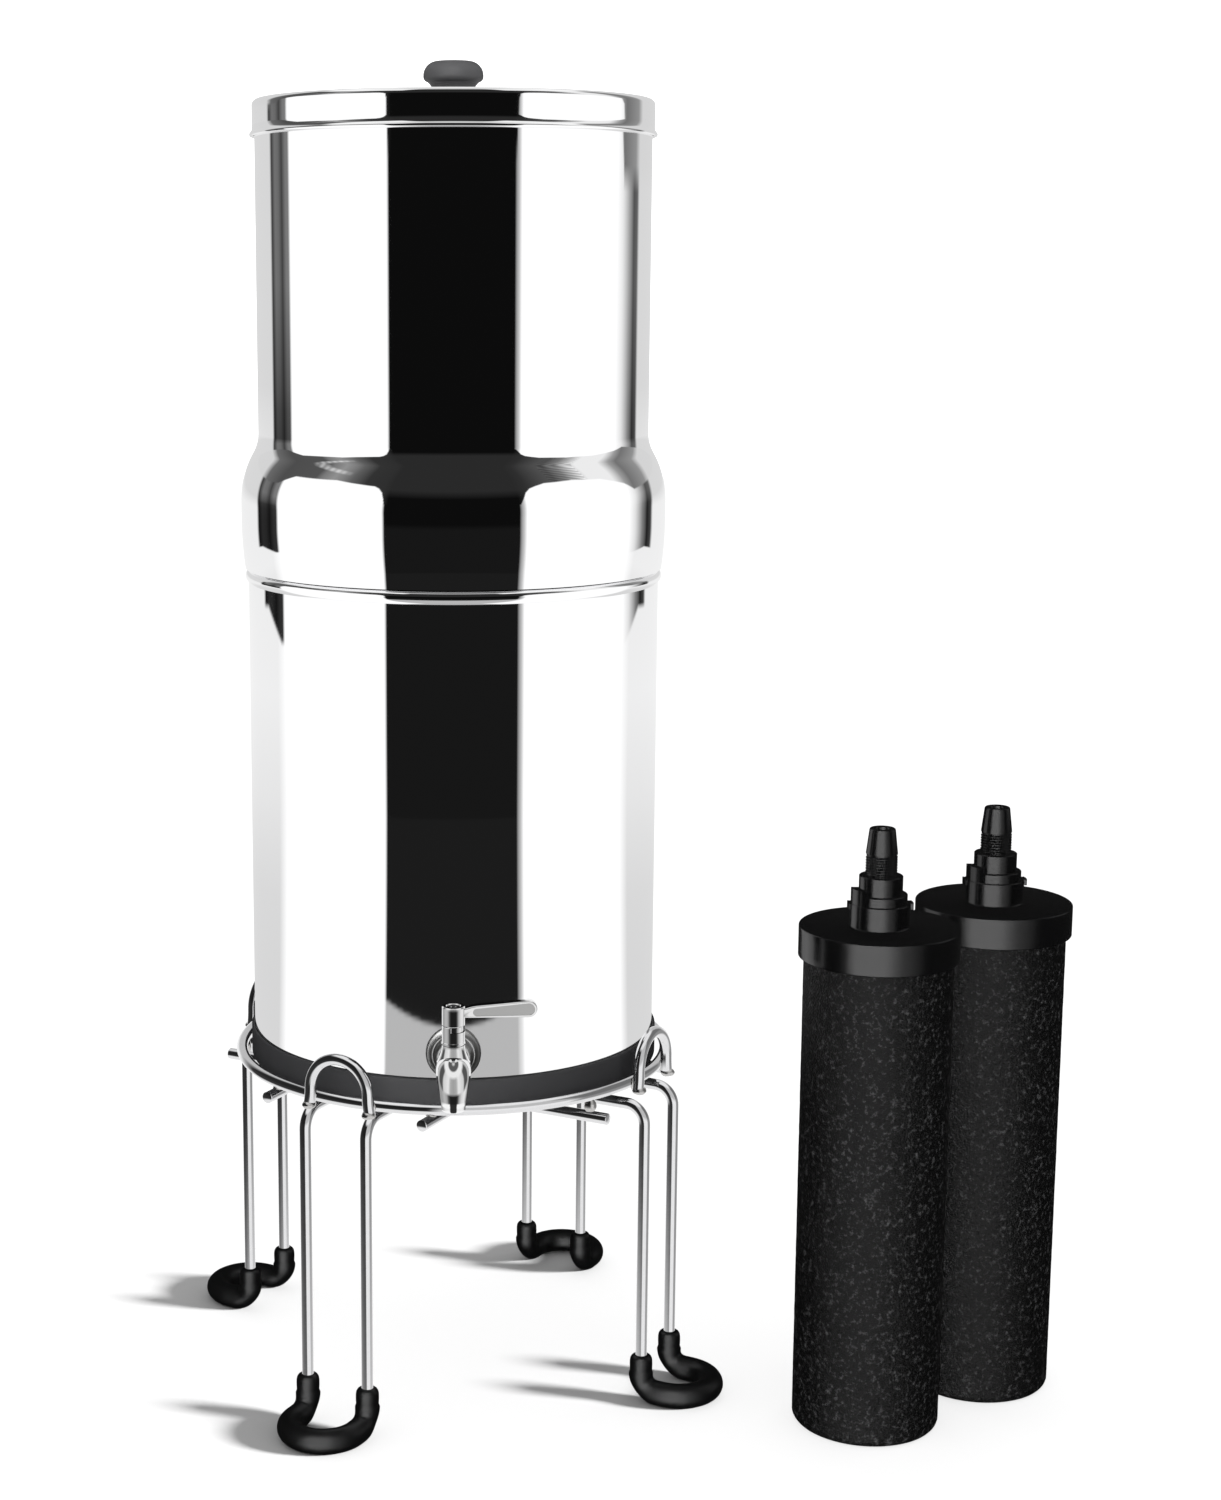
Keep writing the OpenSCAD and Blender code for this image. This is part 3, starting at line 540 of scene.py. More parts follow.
def cut_bores(obj, bores):
    """Cuts round holes through a thin wall."""
    for middle, along, r, length in bores:
        bm = bmesh.new()
        bmesh.ops.create_cone(bm, cap_ends=True, segments=64, radius1=r, radius2=r, depth=length)
        if along == "Y":
            bm.transform(Matrix.Rotation(math.pi / 2, 4, "X"))
        cut(obj, new_object("bore_cutter", bm, mirror_steel, place=middle))


def upper_path(inset):
    """The outside of the upper chamber from its floor to its rim, or a line set in from it."""
    seat = upper_lo.z + NEST_DEPTH
    rim = upper_hi.z
    bulge_r = upper_hi.x - UNIT.x
    nest_r = lower_hi.x - UNIT.x - 2 * RIM_BEAD - NEST_GAP
    out = bulge_r - BULGE_FOOT_R
    curve_r = (BULGE_RISE ** 2 + out ** 2) / (2 * out)
    cove_r = (bulge_r - UPPER_R) / (1 - math.cos(SHOULDER_SLOPE)) - SHOULDER_R
    cove_z = seat + BULGE_RISE + BULGE_BAND + (SHOULDER_R + cove_r) * math.sin(SHOULDER_SLOPE)
    slope = math.degrees(SHOULDER_SLOPE)
    start = -math.degrees(math.asin((BULGE_RISE - inset) / (curve_r - inset)))
    path = [(0, upper_lo.z + inset)]
    path += straight((0, upper_lo.z + inset), (nest_r - NEST_CORNER, upper_lo.z + inset), 10)
    path += arc(nest_r - NEST_CORNER, upper_lo.z + NEST_CORNER, NEST_CORNER - inset, -90, 0, 8)
    path += [(nest_r - inset, seat + inset)]
    path += arc(bulge_r - curve_r, seat + BULGE_RISE, curve_r - inset, start, 0, 14)
    path += arc(bulge_r - SHOULDER_R, seat + BULGE_RISE + BULGE_BAND, SHOULDER_R - inset, 0, slope, 16)
    path += arc(UPPER_R + cove_r, cove_z, cove_r + inset, 180 + slope, 180, 12)[1:]
    path += straight((UPPER_R - inset, cove_z), (UPPER_R - inset, rim - TOP_BEAD), 12)
    return path


def upper_chamber():
    """The upper chamber with the bead rolled inwards at its top and the four holes in its floor."""
    outline = upper_path(0)
    outline += arc(UPPER_R - TOP_BEAD, upper_hi.z - TOP_BEAD, TOP_BEAD, 0, 300, 20)
    outline += upper_path(SHEET)[::-1]
    chamber = revolve("upper_chamber_shell", outline, mirror_steel, UNIT, segments=360)
    bores = []
    for quarter in range(4):
        middle = UNIT + polar(HOLE_CIRCLE, quarter * TURN / 4, upper_lo.z)
        bores.append((middle, "Z", HOLE_R, FLOOR_CUT))
    cut_bores(chamber, bores)
    return dress(chamber, "upper_chamber", "polished_steel", "upper_chamber")


def lid():
    """The lid: a flat top, a rounded corner and a skirt that ends in a small bead."""
    r = UPPER_R + LID_OUT
    top = lid_hi.z
    bottom = lid_lo.z + LID_BEAD
    corner = (r - LID_CORNER, top - LID_CORNER)
    bead_r = r - SHEET + LID_BEAD
    outline = [(0, top)] + straight((0, top), (r - LID_CORNER, top), 10)
    outline += arc(*corner, LID_CORNER, 90, 0, 14)
    outline += straight((r, corner[1]), (r, bottom), 6)
    outline += arc(bead_r, bottom, LID_BEAD, 65, -180, 20)
    outline += straight((r - SHEET, bottom), (r - SHEET, corner[1]), 6)
    outline += arc(*corner, LID_CORNER - SHEET, 0, 90, 8)
    outline += straight((r - LID_CORNER, top - SHEET), (0, top - SHEET), 6) + [(0, top - SHEET)]
    cover = revolve("lid_shell", outline, lid_steel, UNIT, segments=360)
    cut_bores(cover, [(UNIT + Vector((0, 0, top)), "Z", KNOB_BORE_R, LID_CUT)])
    return dress(cover, "lid", "polished_steel", "lid")


def lid_knob():
    """The knob: a soft mushroom on a waisted neck."""
    base = knob_lo.z
    top = knob_hi.z
    r = knob_hi.x - UNIT.x
    head = top - KNOB_HEAD
    outline = [(KNOB_BORE_R, base)]
    outline += [(KNOB_NECK_R + out * MM, base + up * MM) for out, up in KNOB_NECK_MM]
    outline += [(KNOB_NECK_R + 1.6 * MM, head - 0.8 * MM)]
    outline += arc(r - KNOB_LIP_R, head + KNOB_LIP_R, KNOB_LIP_R, -80, 0, 8)
    outline += arc(r - KNOB_CROWN_R, top - KNOB_CROWN_R, KNOB_CROWN_R, 4, 82, 12)
    outline += [(5 * MM, top - 0.02 * MM), (0, top), (0, base + KNOB_BORE_H)]
    outline += [(KNOB_BORE_R, base + KNOB_BORE_H)]
    knob = revolve("knob", outline, knob_plastic, UNIT, segments=128)
    return dress(knob, "lid", "knob_plastic", "lid_knob")


def base_ring():
    """The rubber ring round the foot of the lower chamber, with a rolled top edge."""
    lo = rubber_lo.z
    hi = rubber_hi.z
    outer = rubber_hi.x - UNIT.x
    inner = LOWER_R + RUBBER_GAP
    floor_r = LOWER_R - RUBBER_LEDGE
    corner = (outer - RUBBER_CORNER, lo + RUBBER_CORNER)
    edge = (outer - inner) / 2
    outline = [(floor_r, lo), (corner[0], lo)] + arc(*corner, RUBBER_CORNER, -90, 0, 8)
    outline += straight((outer, corner[1]), (outer, hi - edge), 4)
    outline += arc(outer - edge, hi - edge, edge, 0, 180, 10)
    outline += [(inner, lo + RUBBER_T), (floor_r, lo + RUBBER_T)]
    ring = revolve("rubber_ring", outline, grey_rubber, UNIT, segments=256)
    return dress(ring, "lower_chamber", "grey_rubber", "base_ring")


# Stand

LAYER_UPPER = ring_lo.z + WELD_SINK - WIRE_R
LAYER_LOWER = LAYER_UPPER - 2 * WIRE_R + WELD_SINK
RING_Z = (ring_lo.z + ring_hi.z) / 2
RING_R = ring_hi.x - UNIT.x - WIRE_R
FOOT_Z = BOOT_R - BOOT_FLAT
RING_FLARE = math.asin((ARCH_RISE - ARCH_R) / ARCH_FLARE_R)
ARCH_AT_RING = ARCH_R + ARCH_FLARE_R * (1 - math.cos(RING_FLARE))
ARCH_PLANE = math.sqrt((RING_R + 2 * WIRE_R - WELD_SINK) ** 2 - ARCH_AT_RING ** 2)
LEG_PLANE = ARCH_PLANE + LEG_OVER
FOOT_MIDDLE = LEG_PLANE + FOOT_REACH - LEG_HALF
LEGS = {
    "front_left": (-LEG_ANGLE, LAYER_UPPER),
    "front_right": (90 - LEG_ANGLE, LAYER_LOWER),
    "back_right": (180 - LEG_ANGLE, LAYER_UPPER),
    "back_left": (270 - LEG_ANGLE, LAYER_LOWER),
}


def turned(name, bm, angle, material, sharp=40):
    """An object drawn straight ahead of the origin and turned to the direction of a leg."""
    bm.transform(Matrix.Rotation(math.radians(angle), 4, "Z"))
    return new_object(name, bm, material, sharp, UNIT)


def foot_path(side, top_z, steps=10):
    """One wire of a leg from a height down to the middle of the loop at the floor."""
    x = side * LEG_HALF
    points = [Vector((x, -LEG_PLANE, top_z))]
    for y, z in arc(-LEG_PLANE - FOOT_BEND, FOOT_Z + FOOT_BEND, FOOT_BEND, 0, -90, steps):
        points.append(Vector((x, y, z)))
    for a in range(steps + 1):
        t = math.pi / 2 * a / steps
        points.append(Vector((x * math.cos(t), -FOOT_MIDDLE - LEG_HALF * math.sin(t), FOOT_Z)))
    return points


def leg_wire(name, first, second, decks):
    """One bent wire: two legs with their loops and the two wires under the chamber between them."""
    angle, layer = LEGS[first]
    half = []
    for side in (-1, 1):
        points = [Vector((side * LEG_HALF, 0, layer))]
        for y, z in arc(TOP_BEND - LEG_PLANE, layer - TOP_BEND, TOP_BEND, 90, 180, 12):
            points.append(Vector((side * LEG_HALF, y, z)))
        points += foot_path(side, layer - 2 * TOP_BEND)
        half.append(points)
    one_leg = half[0] + half[1][::-1][1:]
    opposite = [Vector((-p.x, -p.y, p.z)) for p in one_leg]
    bm = bmesh.new()
    path = one_leg + opposite
    tidy = [p for i, p in enumerate(path) if (p - path[i - 1]).length > 1e-5]
    sweep(bm, tidy, [WIRE_R] * len(tidy), sides=24, closed=True)
    wire = turned(name, bm, angle, wire_steel)
    return dress(wire, "stand", "chrome_wire", first + "_leg", second + "_leg", decks)


def arch(corner):
    """A locating arch over a leg: a half round crown on two sides that flare a little down to the ring."""
    crown_z = RING_Z + ARCH_RISE - ARCH_R
    sides = {-1: [], 1: []}
    for side in sides:
        for i in range(9):
            t = ARCH_FLARE * i / 8
            x = ARCH_R + ARCH_FLARE_R * (1 - math.cos(t))
            sides[side].append(Vector((side * x, -ARCH_PLANE, crown_z - ARCH_FLARE_R * math.sin(t))))
    crown = [Vector((x, -ARCH_PLANE, z)) for x, z in arc(0, crown_z, ARCH_R, 180, 0, 32)]
    path = sides[-1][::-1][:-1] + crown + sides[1][1:]
    bm = bmesh.new()
    sweep(bm, path, [WIRE_R] * len(path), sides=24, twist_up=Vector((0, 1, 0)))
    wire = turned(corner + "_arch_wire", bm, LEGS[corner][0], wire_steel)
    return dress(wire, "stand", "chrome_wire", corner + "_arch")


def welds(corner, seed):
    """Weld beads where the two wires of a leg and its arch meet the ring."""
    bm = bmesh.new()
    touch = (ARCH_PLANE + math.sqrt(RING_R ** 2 - LEG_HALF ** 2)) / 2
    for side in (-1, 1):
        x = side * LEG_HALF * 0.985
        blob(bm, (x, -touch, RING_Z - 0.2 * MM), (2.3 * MM, 1.5 * MM, 3.1 * MM), seed + side)
        foot = (x, -ARCH_PLANE - 0.6 * MM, ring_lo.z - 0.4 * MM)
        blob(bm, foot, (3.5 * MM, 3.9 * MM, 2.3 * MM), seed + 5 * side)
    return dress(turned(corner + "_welds", bm, LEGS[corner][0], weld_steel), "stand", "chrome_wire")


def boot(corner):
    """A dipped rubber boot: a thick loop on the floor, pinched where it turns up into its cuffs."""
    join_z = FOOT_Z + FOOT_BEND + CUFF_JOIN
    loop = foot_path(-1, join_z, 14)[1:] + foot_path(1, join_z, 14)[-2:0:-1]
    ends = {}
    for side in (-1, 1):
        ends[side] = [Vector((side * LEG_HALF, -LEG_PLANE, z * MM)) for z in CUFF_Z_MM]
    path = ends[-1] + loop + ends[1][::-1]
    span = len(loop)
    radii = [r * MM for r in CUFF_R_MM]
    for i in range(span):
        t = min(i, span - 1 - i) / (span / 2)
        pinch = math.exp(-((t - 0.22) / 0.13) ** 2)
        radii.append(BOOT_R - BOOT_PINCH * pinch * (1 if t < 0.5 else 0))
    radii += [r * MM for r in reversed(CUFF_R_MM)]
    bm = bmesh.new()
    sweep(bm, path, radii, sides=32)
    for v in bm.verts:
        v.co.z = max(v.co.z, 0)
    piece = turned(corner + "_rubber_boot", bm, LEGS[corner][0], black_rubber, 70)
    return dress(piece, "stand", "black_rubber", corner + "_boot")


def rods(name, angle, layer, halves, node, seed):
    """A pair of cross rods with sheared ends and a dab of weld over each end."""
    bm = bmesh.new()
    beads = bmesh.new()
    for k, (side, half) in enumerate(zip((-1, 1), halves)):
        x = side * ROD_OFFSET
        ys = [-half, -half + ROD_CHAMFER, half - ROD_CHAMFER, half]
        radii = [ROD_END_R, WIRE_R, WIRE_R, ROD_END_R]
        sweep(bm, [Vector((x, y, layer)) for y in ys], radii, sides=24)
        reach = math.sqrt(RING_R ** 2 - ROD_OFFSET ** 2)
        rise = (RING_Z - layer - 2 * WIRE_R) / 2
        for end in (-1, 1):
            middle = (x * 0.995, end * reach, layer + WIRE_R + rise)
            blob(beads, middle, (2.6 * MM, 3.3 * MM, 1.6 * MM + rise), seed + k + 3 * end)
    dress(turned(name + "_welds", beads, angle, weld_steel), "stand", "chrome_wire")
    return dress(turned(name + "_pair", bm, angle, wire_steel), "stand", "chrome_wire", node)


def stand():
    """The whole stand."""
    outline = arc(RING_R, RING_Z, WIRE_R, 0, 360, 28)[:-1]
    ring = revolve("ring_wire", outline, wire_steel, UNIT, segments=360)
    dress(ring, "stand", "chrome_wire", "stand_ring")
    leg_wire("upper_leg_wire", "front_left", "back_right", "upper_deck_wires")
    leg_wire("lower_leg_wire", "front_right", "back_left", "lower_deck_wires")
    rods("upper_rod", LEGS["front_left"][0], LAYER_UPPER, (ROD_HALF, ROD_HALF), "upper_cross_rods", 11)
    rods("lower_rod", LEGS["front_right"][0], LAYER_LOWER, (ROD_HALF, SHORT_ROD_HALF), "lower_cross_rods", 31)
    for seed, corner in enumerate(LEGS):
        arch(corner)
        welds(corner, 50 + 10 * seed)
        boot(corner)


# Tap

TAP = UNIT + Vector((0, -TAP_AHEAD, TAP_Z))
TO_WALL = Matrix.Rotation(-math.pi / 2, 4, "X")


def smooth_path(knots, steps):
    """A smooth curve through knots, each a list of coordinates, radius included."""
    found = []
    for i in range(len(knots) - 1):
        p = [knots[max(i - 1, 0)], knots[i], knots[i + 1], knots[min(i + 2, len(knots) - 1)]]
        for k in range(steps):
            t = k / steps
            found.append([0.5 * (2 * b + (c - a) * t + (2 * a - 5 * b + 4 * c - d) * t * t
                                 + (3 * b - a - 3 * c + d) * t ** 3) for a, b, c, d in zip(*p)])
    found.append(list(knots[-1]))
    return found


def tap_body():
    """The casting: a spout that swells under the barrel, the barrel with its stop slot, and the flange."""
    spine = smooth_path(SPOUT_MM, 8)
    path = [Vector((0, y * MM, z * MM)) for y, z, r in spine]
    radii = [r * MM for y, z, r in spine]
    for z, r in LIP_MM:
        path.append(Vector((0, -SPOUT_X, z * MM)))
        radii.append(r * MM)
    bm = bmesh.new()
    sweep(bm, path, radii, sides=48, twist_up=Vector((1, 0, 0)))
    dress(new_object("tap_casting", bm, tap_steel, 50, TAP), "lower_chamber", "tap_steel", "tap_body")

    outline = [(0, 2 * MM)] + [(r * MM, z * MM) for r, z in BARREL_MM]
    outline += [(BARREL_R, BARREL_H - 0.25 * MM), (BARREL_R - 0.25 * MM, BARREL_H)]
    outline += [(CORE_BORE_R, BARREL_H), (CORE_BORE_R, CORE_BORE_FLOOR), (0, CORE_BORE_FLOOR)]
    barrel = revolve("tap_barrel", outline, tap_steel, TAP, segments=96, sharp=35)
    cut_slot(barrel)
    dress(barrel, "lower_chamber", "tap_steel")

    wall = TAP_AHEAD - LOWER_R - WASHER_T
    outline = [(r * MM, wall - ahead * MM) for r, ahead in FLANGE_MM]
    flange = revolve("tap_flange", outline, satin_steel, TAP, segments=128, sharp=30, turn=TO_WALL)
    dress(flange, "lower_chamber", "tap_steel")

    end = TAP_AHEAD - LOWER_R + SHEET + SHANK_IN
    outline = [(SHANK_BORE_R, wall)]
    z = wall
    while z < end - SHANK_PITCH:
        outline += [(SHANK_ROOT_R, z), (SHANK_CREST_R, z + SHANK_PITCH / 2)]
        z += SHANK_PITCH
    outline += [(SHANK_ROOT_R, z), (SHANK_END_R, end), (SHANK_BORE_R, end)]
    shank = revolve("tap_shank", outline, tap_steel, TAP, segments=64, turn=TO_WALL)
    return dress(shank, "lower_chamber", "tap_steel")


def cut_slot(barrel):
    """Cuts the quarter slot in which the lever's stop runs, from straight ahead to the right."""
    bm = bmesh.new()
    wedge(bm, (BARREL_H - 2.7 * MM, BARREL_H + 1 * MM), (4.8 * MM, 8.0 * MM), (-103, 13), 16)
    cut(barrel, new_object("slot_cutter", bm, tap_steel, place=TAP))


def lever():
    """The lever: a flat arm with a round edge and a bare satin recess in each face, on a cap with a screw."""
    base = BARREL_H + CAP_GAP
    end_x = LEVER_REACH - LEVER_END_R
    root_z = base + CAP_H - LEVER_DROP
    end_z = root_z + LEVER_RISE
    outer = [(4 * MM, root_z - LEVER_ROOT), (9 * MM, root_z - LEVER_ROOT)]
    outer += arc(end_x, end_z, LEVER_END_R, -92, 92, 24)
    outer += [(11.5 * MM, root_z + LEVER_ROOT + 1.2 * MM), (8.5 * MM, root_z + LEVER_ROOT + 0.6 * MM),
              (6.0 * MM, root_z + LEVER_ROOT - 0.2 * MM), (4 * MM, root_z + LEVER_ROOT - 0.2 * MM)]
    bm = slab(outer, -LEVER_T / 2, LEVER_T)
    bmesh.ops.recalc_face_normals(bm, faces=bm.faces)
    rim = [e for e in bm.edges if all(abs(abs(v.co.y) - LEVER_T / 2) < 1e-6 for v in e.verts)
           and abs(e.verts[0].co.y - e.verts[1].co.y) < 1e-6]
    bmesh.ops.bevel(bm, geom=rim, offset=LEVER_EDGE, segments=4, affect="EDGES", profile=0.5)
    arm = new_object("lever_arm", bm, tap_steel, 35, TAP)
    recess_r = LEVER_END_R - RECESS_RIM
    from_x = BARREL_R + RECESS_START
    from_r = recess_r * 0.62
    from_z = root_z + 0.35 * MM
    recess = arc(end_x, end_z, recess_r, -88, 92, 24) + arc(from_x, from_z, from_r, 92, 272, 24)
    for side in (-1, 1):
        bm = slab(recess, side * (LEVER_T / 2 - RECESS_DEPTH), side * RECESS_CUT)
        cut(arm, new_object("recess_cutter", bm, satin_steel, place=TAP), transfer=True)
    dress(arm, "tap_lever", "tap_steel", "tap_lever")

    top = base + CAP_H
    outline = [(SCREW_HOLE_R, base), (BARREL_R - 0.25 * MM, base), (BARREL_R, base + 0.25 * MM)]
    outline += straight((BARREL_R, base + 0.25 * MM), (BARREL_R, top - 0.7 * MM), 4)
    outline += arc(BARREL_R - 0.7 * MM, top - 0.7 * MM, 0.7 * MM, 0, 90, 6)
    outline += arc(4.1 * MM, top - 0.5 * MM, 0.5 * MM, 90, 180, 5)
    outline += [(3.6 * MM, top - 2.6 * MM), (1.6 * MM, top - 2.6 * MM), (1.6 * MM, base + 5 * MM)]
    outline += [(SCREW_HOLE_R, base + 5 * MM)]
    cap = revolve("lever_cap", outline, tap_steel, TAP, segments=96, sharp=30)
    dress(cap, "tap_lever", "tap_steel")

    bm = bmesh.new()
    middle = Matrix.Translation((STOP_LO + STOP_HI) / 2)
    bmesh.ops.create_cube(bm, size=1, matrix=middle @ Matrix.Diagonal((*(STOP_HI - STOP_LO), 1)))
    bmesh.ops.recalc_face_normals(bm, faces=bm.faces)
    bmesh.ops.bevel(bm, geom=list(bm.edges), offset=0.15 * MM, segments=2, affect="EDGES", profile=0.5)
    return dress(new_object("lever_stop", bm, tap_steel, place=TAP), "tap_lever", "tap_steel")


# Filter elements

def thread_radius(z, angle, bottom, top):
    """Radius of a helical ridge that fades out at both ends."""
    turns = (z - bottom) / THREAD_PITCH - angle / TURN
    wave = abs(2 * (turns % 1) - 1)
    fade = min(1, (z - bottom) / THREAD_PITCH, (top - z) / THREAD_PITCH)
    return THREAD_R - THREAD_DEPTH + THREAD_DEPTH * min(1, wave * 1.25) * max(fade, 0)


def element(side):
    """One filter element: pressed carbon, and an end cap whose stem carries the thread and the tip."""
    lo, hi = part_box(side + "_carbon_block")
    place = Vector(((lo.x + hi.x) / 2, (lo.y + hi.y) / 2, 0))
    body = side + "_element"
    outline = [(0, 0)] + straight((0, 0), (CARBON_R - CARBON_EDGE, 0), 5)
    outline += arc(CARBON_R - CARBON_EDGE, CARBON_EDGE, CARBON_EDGE, -90, 0, 8)
    under = CAP_TOP - CAP_T
    outline += straight((CARBON_R, CARBON_EDGE), (CARBON_R, under), 110)
    outline += [(CARBON_R, under), (BLOCK_BORE_R, under), (BLOCK_BORE_R, BLOCK_FLOOR), (0, BLOCK_FLOOR)]
    block = revolve(side + "_carbon", outline, carbon, place, segments=256)
    for v in block.data.vertices:
        flat = Vector((v.co.x - place.x, v.co.y - place.y, 0))
        if flat.length > CARBON_R - 2 * MM and v.co.z > 1 * MM:
            n = noise.noise(v.co * 900) * 0.10 * MM + noise.noise(v.co * 160) * 0.08 * MM
            v.co += flat.normalized() * (n - 0.12 * MM)
    dress(block, body, "carbon", side + "_carbon_block")

    skirt = CAP_TOP - CAP_DEEP
    outline = [(CARBON_R + CAP_PLAY, skirt)] + arc(CAP_R - 0.5 * MM, skirt + 0.5 * MM, 0.5 * MM, -90, 0, 4)
    outline += straight((CAP_R, skirt + 0.5 * MM), (CAP_R, CAP_TOP - 0.8 * MM), 4)
    outline += arc(CAP_R - 0.8 * MM, CAP_TOP - 0.8 * MM, 0.8 * MM, 0, 90, 5)
    outline += arc(NECK_R + 1 * MM, CAP_TOP + 1 * MM, 1 * MM, 270, 180, 5)
    outline += straight((NECK_R, CAP_TOP + 1 * MM), (NECK_R, NECK_TOP - EDGE_R), 3)
    outline += [(NECK_R, NECK_TOP - EDGE_R), (NECK_R - EDGE_R, NECK_TOP), (SHOULDER_R_STEM, NECK_TOP)]
    outline += [(SHOULDER_R_STEM, SHOULDER_TOP - EDGE_R), (SHOULDER_R_STEM - EDGE_R, SHOULDER_TOP)]
    outline += [(COLLAR_R, SHOULDER_TOP), (COLLAR_R, COLLAR_TOP - EDGE_R), (COLLAR_R - EDGE_R, COLLAR_TOP)]
    outline += [(THREAD_R - 0.8 * MM, COLLAR_TOP), (STEM_BORE, COLLAR_TOP), (STEM_BORE, under)]
    outline += [(CARBON_R + CAP_PLAY, under)]
    cap = revolve(side + "_cap", outline, cap_plastic, place, segments=192, sharp=30)
    dress(cap, body, "cap_plastic", side + "_end_cap")

    bottom = COLLAR_TOP - 0.2 * MM
    top = THREAD_TOP
    bm = bmesh.new()
    turns = [TURN * k / THREAD_SIDES for k in range(THREAD_SIDES)]
    grid = []
    for i in range(THREAD_ROWS + 1):
        z = bottom + (top - bottom) * i / THREAD_ROWS
        grid.append([bm.verts.new(polar(thread_radius(z, a, bottom, top), a, z)) for a in turns])
    for r, z in ((8, THREAD_TOP), (7.95, THREAD_TOP + 0.6 * MM), (6.6, TIP_TOP - 1 * MM),
                 (6.4, TIP_TOP - 0.3 * MM), (6.0, TIP_TOP), (4, TIP_TOP), (3.5, TIP_TOP - 0.5 * MM),
                 (3.5, bottom)):
        grid.append([bm.verts.new(polar(r * MM, a, z)) for a in turns])
    for here, there in zip(grid, grid[1:] + grid[:1]):
        for k in range(THREAD_SIDES):
            m = (k + 1) % THREAD_SIDES
            bm.faces.new((here[k], here[m], there[m], there[k]))
    dress(new_object(side + "_thread", bm, cap_plastic, 50, place), body, "cap_plastic")

    bm = bmesh.new()
    for heights, radii, angles in LUGS_MM:
        wedge(bm, [z * MM for z in heights], [r * MM for r in radii], angles, 10)
    return dress(new_object(side + "_lugs", bm, cap_plastic, 30, place), body, "cap_plastic")


def dress_nodes():
    """Materials for the CAD pieces that stay as they are."""
    plain = ((black_rubber, ("tap_outer_washer", "tap_inner_washer", "core_o_rings", "plug_washers",
                             "knob_washer")),
             (turned_steel, ("valve_core", "lever_screw", "knob_screw")), (tap_steel, ("tap_lock_nut",)),
             (plug_plastic, ("blanking_plugs", "plug_wing_nuts")))
    for material, names in plain:
        for name in names:
            mesh = frame["nodes"][name].data
            mesh.materials.clear()
            mesh.materials.append(material)


# Studio

WALL_R = 1.6
WALL_TOP = 25
EYE_LEVEL = 0.49
FLOOR_HOLE = 0.10
RING_STEP = 0.01
RINGS = 151
WALL_TURNS = 720
WORLD_LIGHT = 1.7
FLOOR_HALF = 6
SUN_AZIMUTH = 76
SUN_HEIGHT = math.radians(20)
SUN_WIDTH = math.radians(10)
SUN_ENERGY = 29
PAPER = 0.23


def ramp(x, points):
    """Brightness between (place, brightness) points."""
    if x <= points[0][0]:
        return points[0][1]
    for (x0, y0), (x1, y1) in zip(points, points[1:]):
        if x <= x1:
            return y0 + (y1 - y0) * (x - x0) / (x1 - x0)
    return points[-1][1]


def mix(a, b, share):
    """A share of b in a."""
    return a + (b - a) * share


def front_share(azimuth):
    """How far a direction is outside the black front of the studio, from 0 to 1."""
    if azimuth < 0:
        return ramp(-azimuth, [(35.5, 0), (36.8, 1)])
    return ramp(azimuth, [(34, 0), (35.2, 0.32), (36.5, 0.55), (38, 1)])


def flag_share(azimuth):
    """How much of a direction the two dark flags beside the filter take, from 0 to 1."""
    if azimuth < 0:
        return ramp(-azimuth, [(104.5, 0), (106.5, 1), (125.5, 1), (128, 0)])
    return ramp(azimuth, [(105, 0), (111, 0.28), (115, 0.58), (118.5, 0.82), (124, 1), (129, 0.95), (132, 0)])


def flag_tone(azimuth):
    """Lighter and darker stripes across the two flags."""
    if azimuth < 0:
        return ramp(-azimuth, [(105, 1), (109, 0.9), (113, 0.25), (117, 0.7), (121, 0.8), (125, 0.2),
                               (128, 1)])
    return ramp(azimuth, [(108, 1.5), (119, 1.0), (124, 0.4), (128, 0.45), (132, 1.0)])


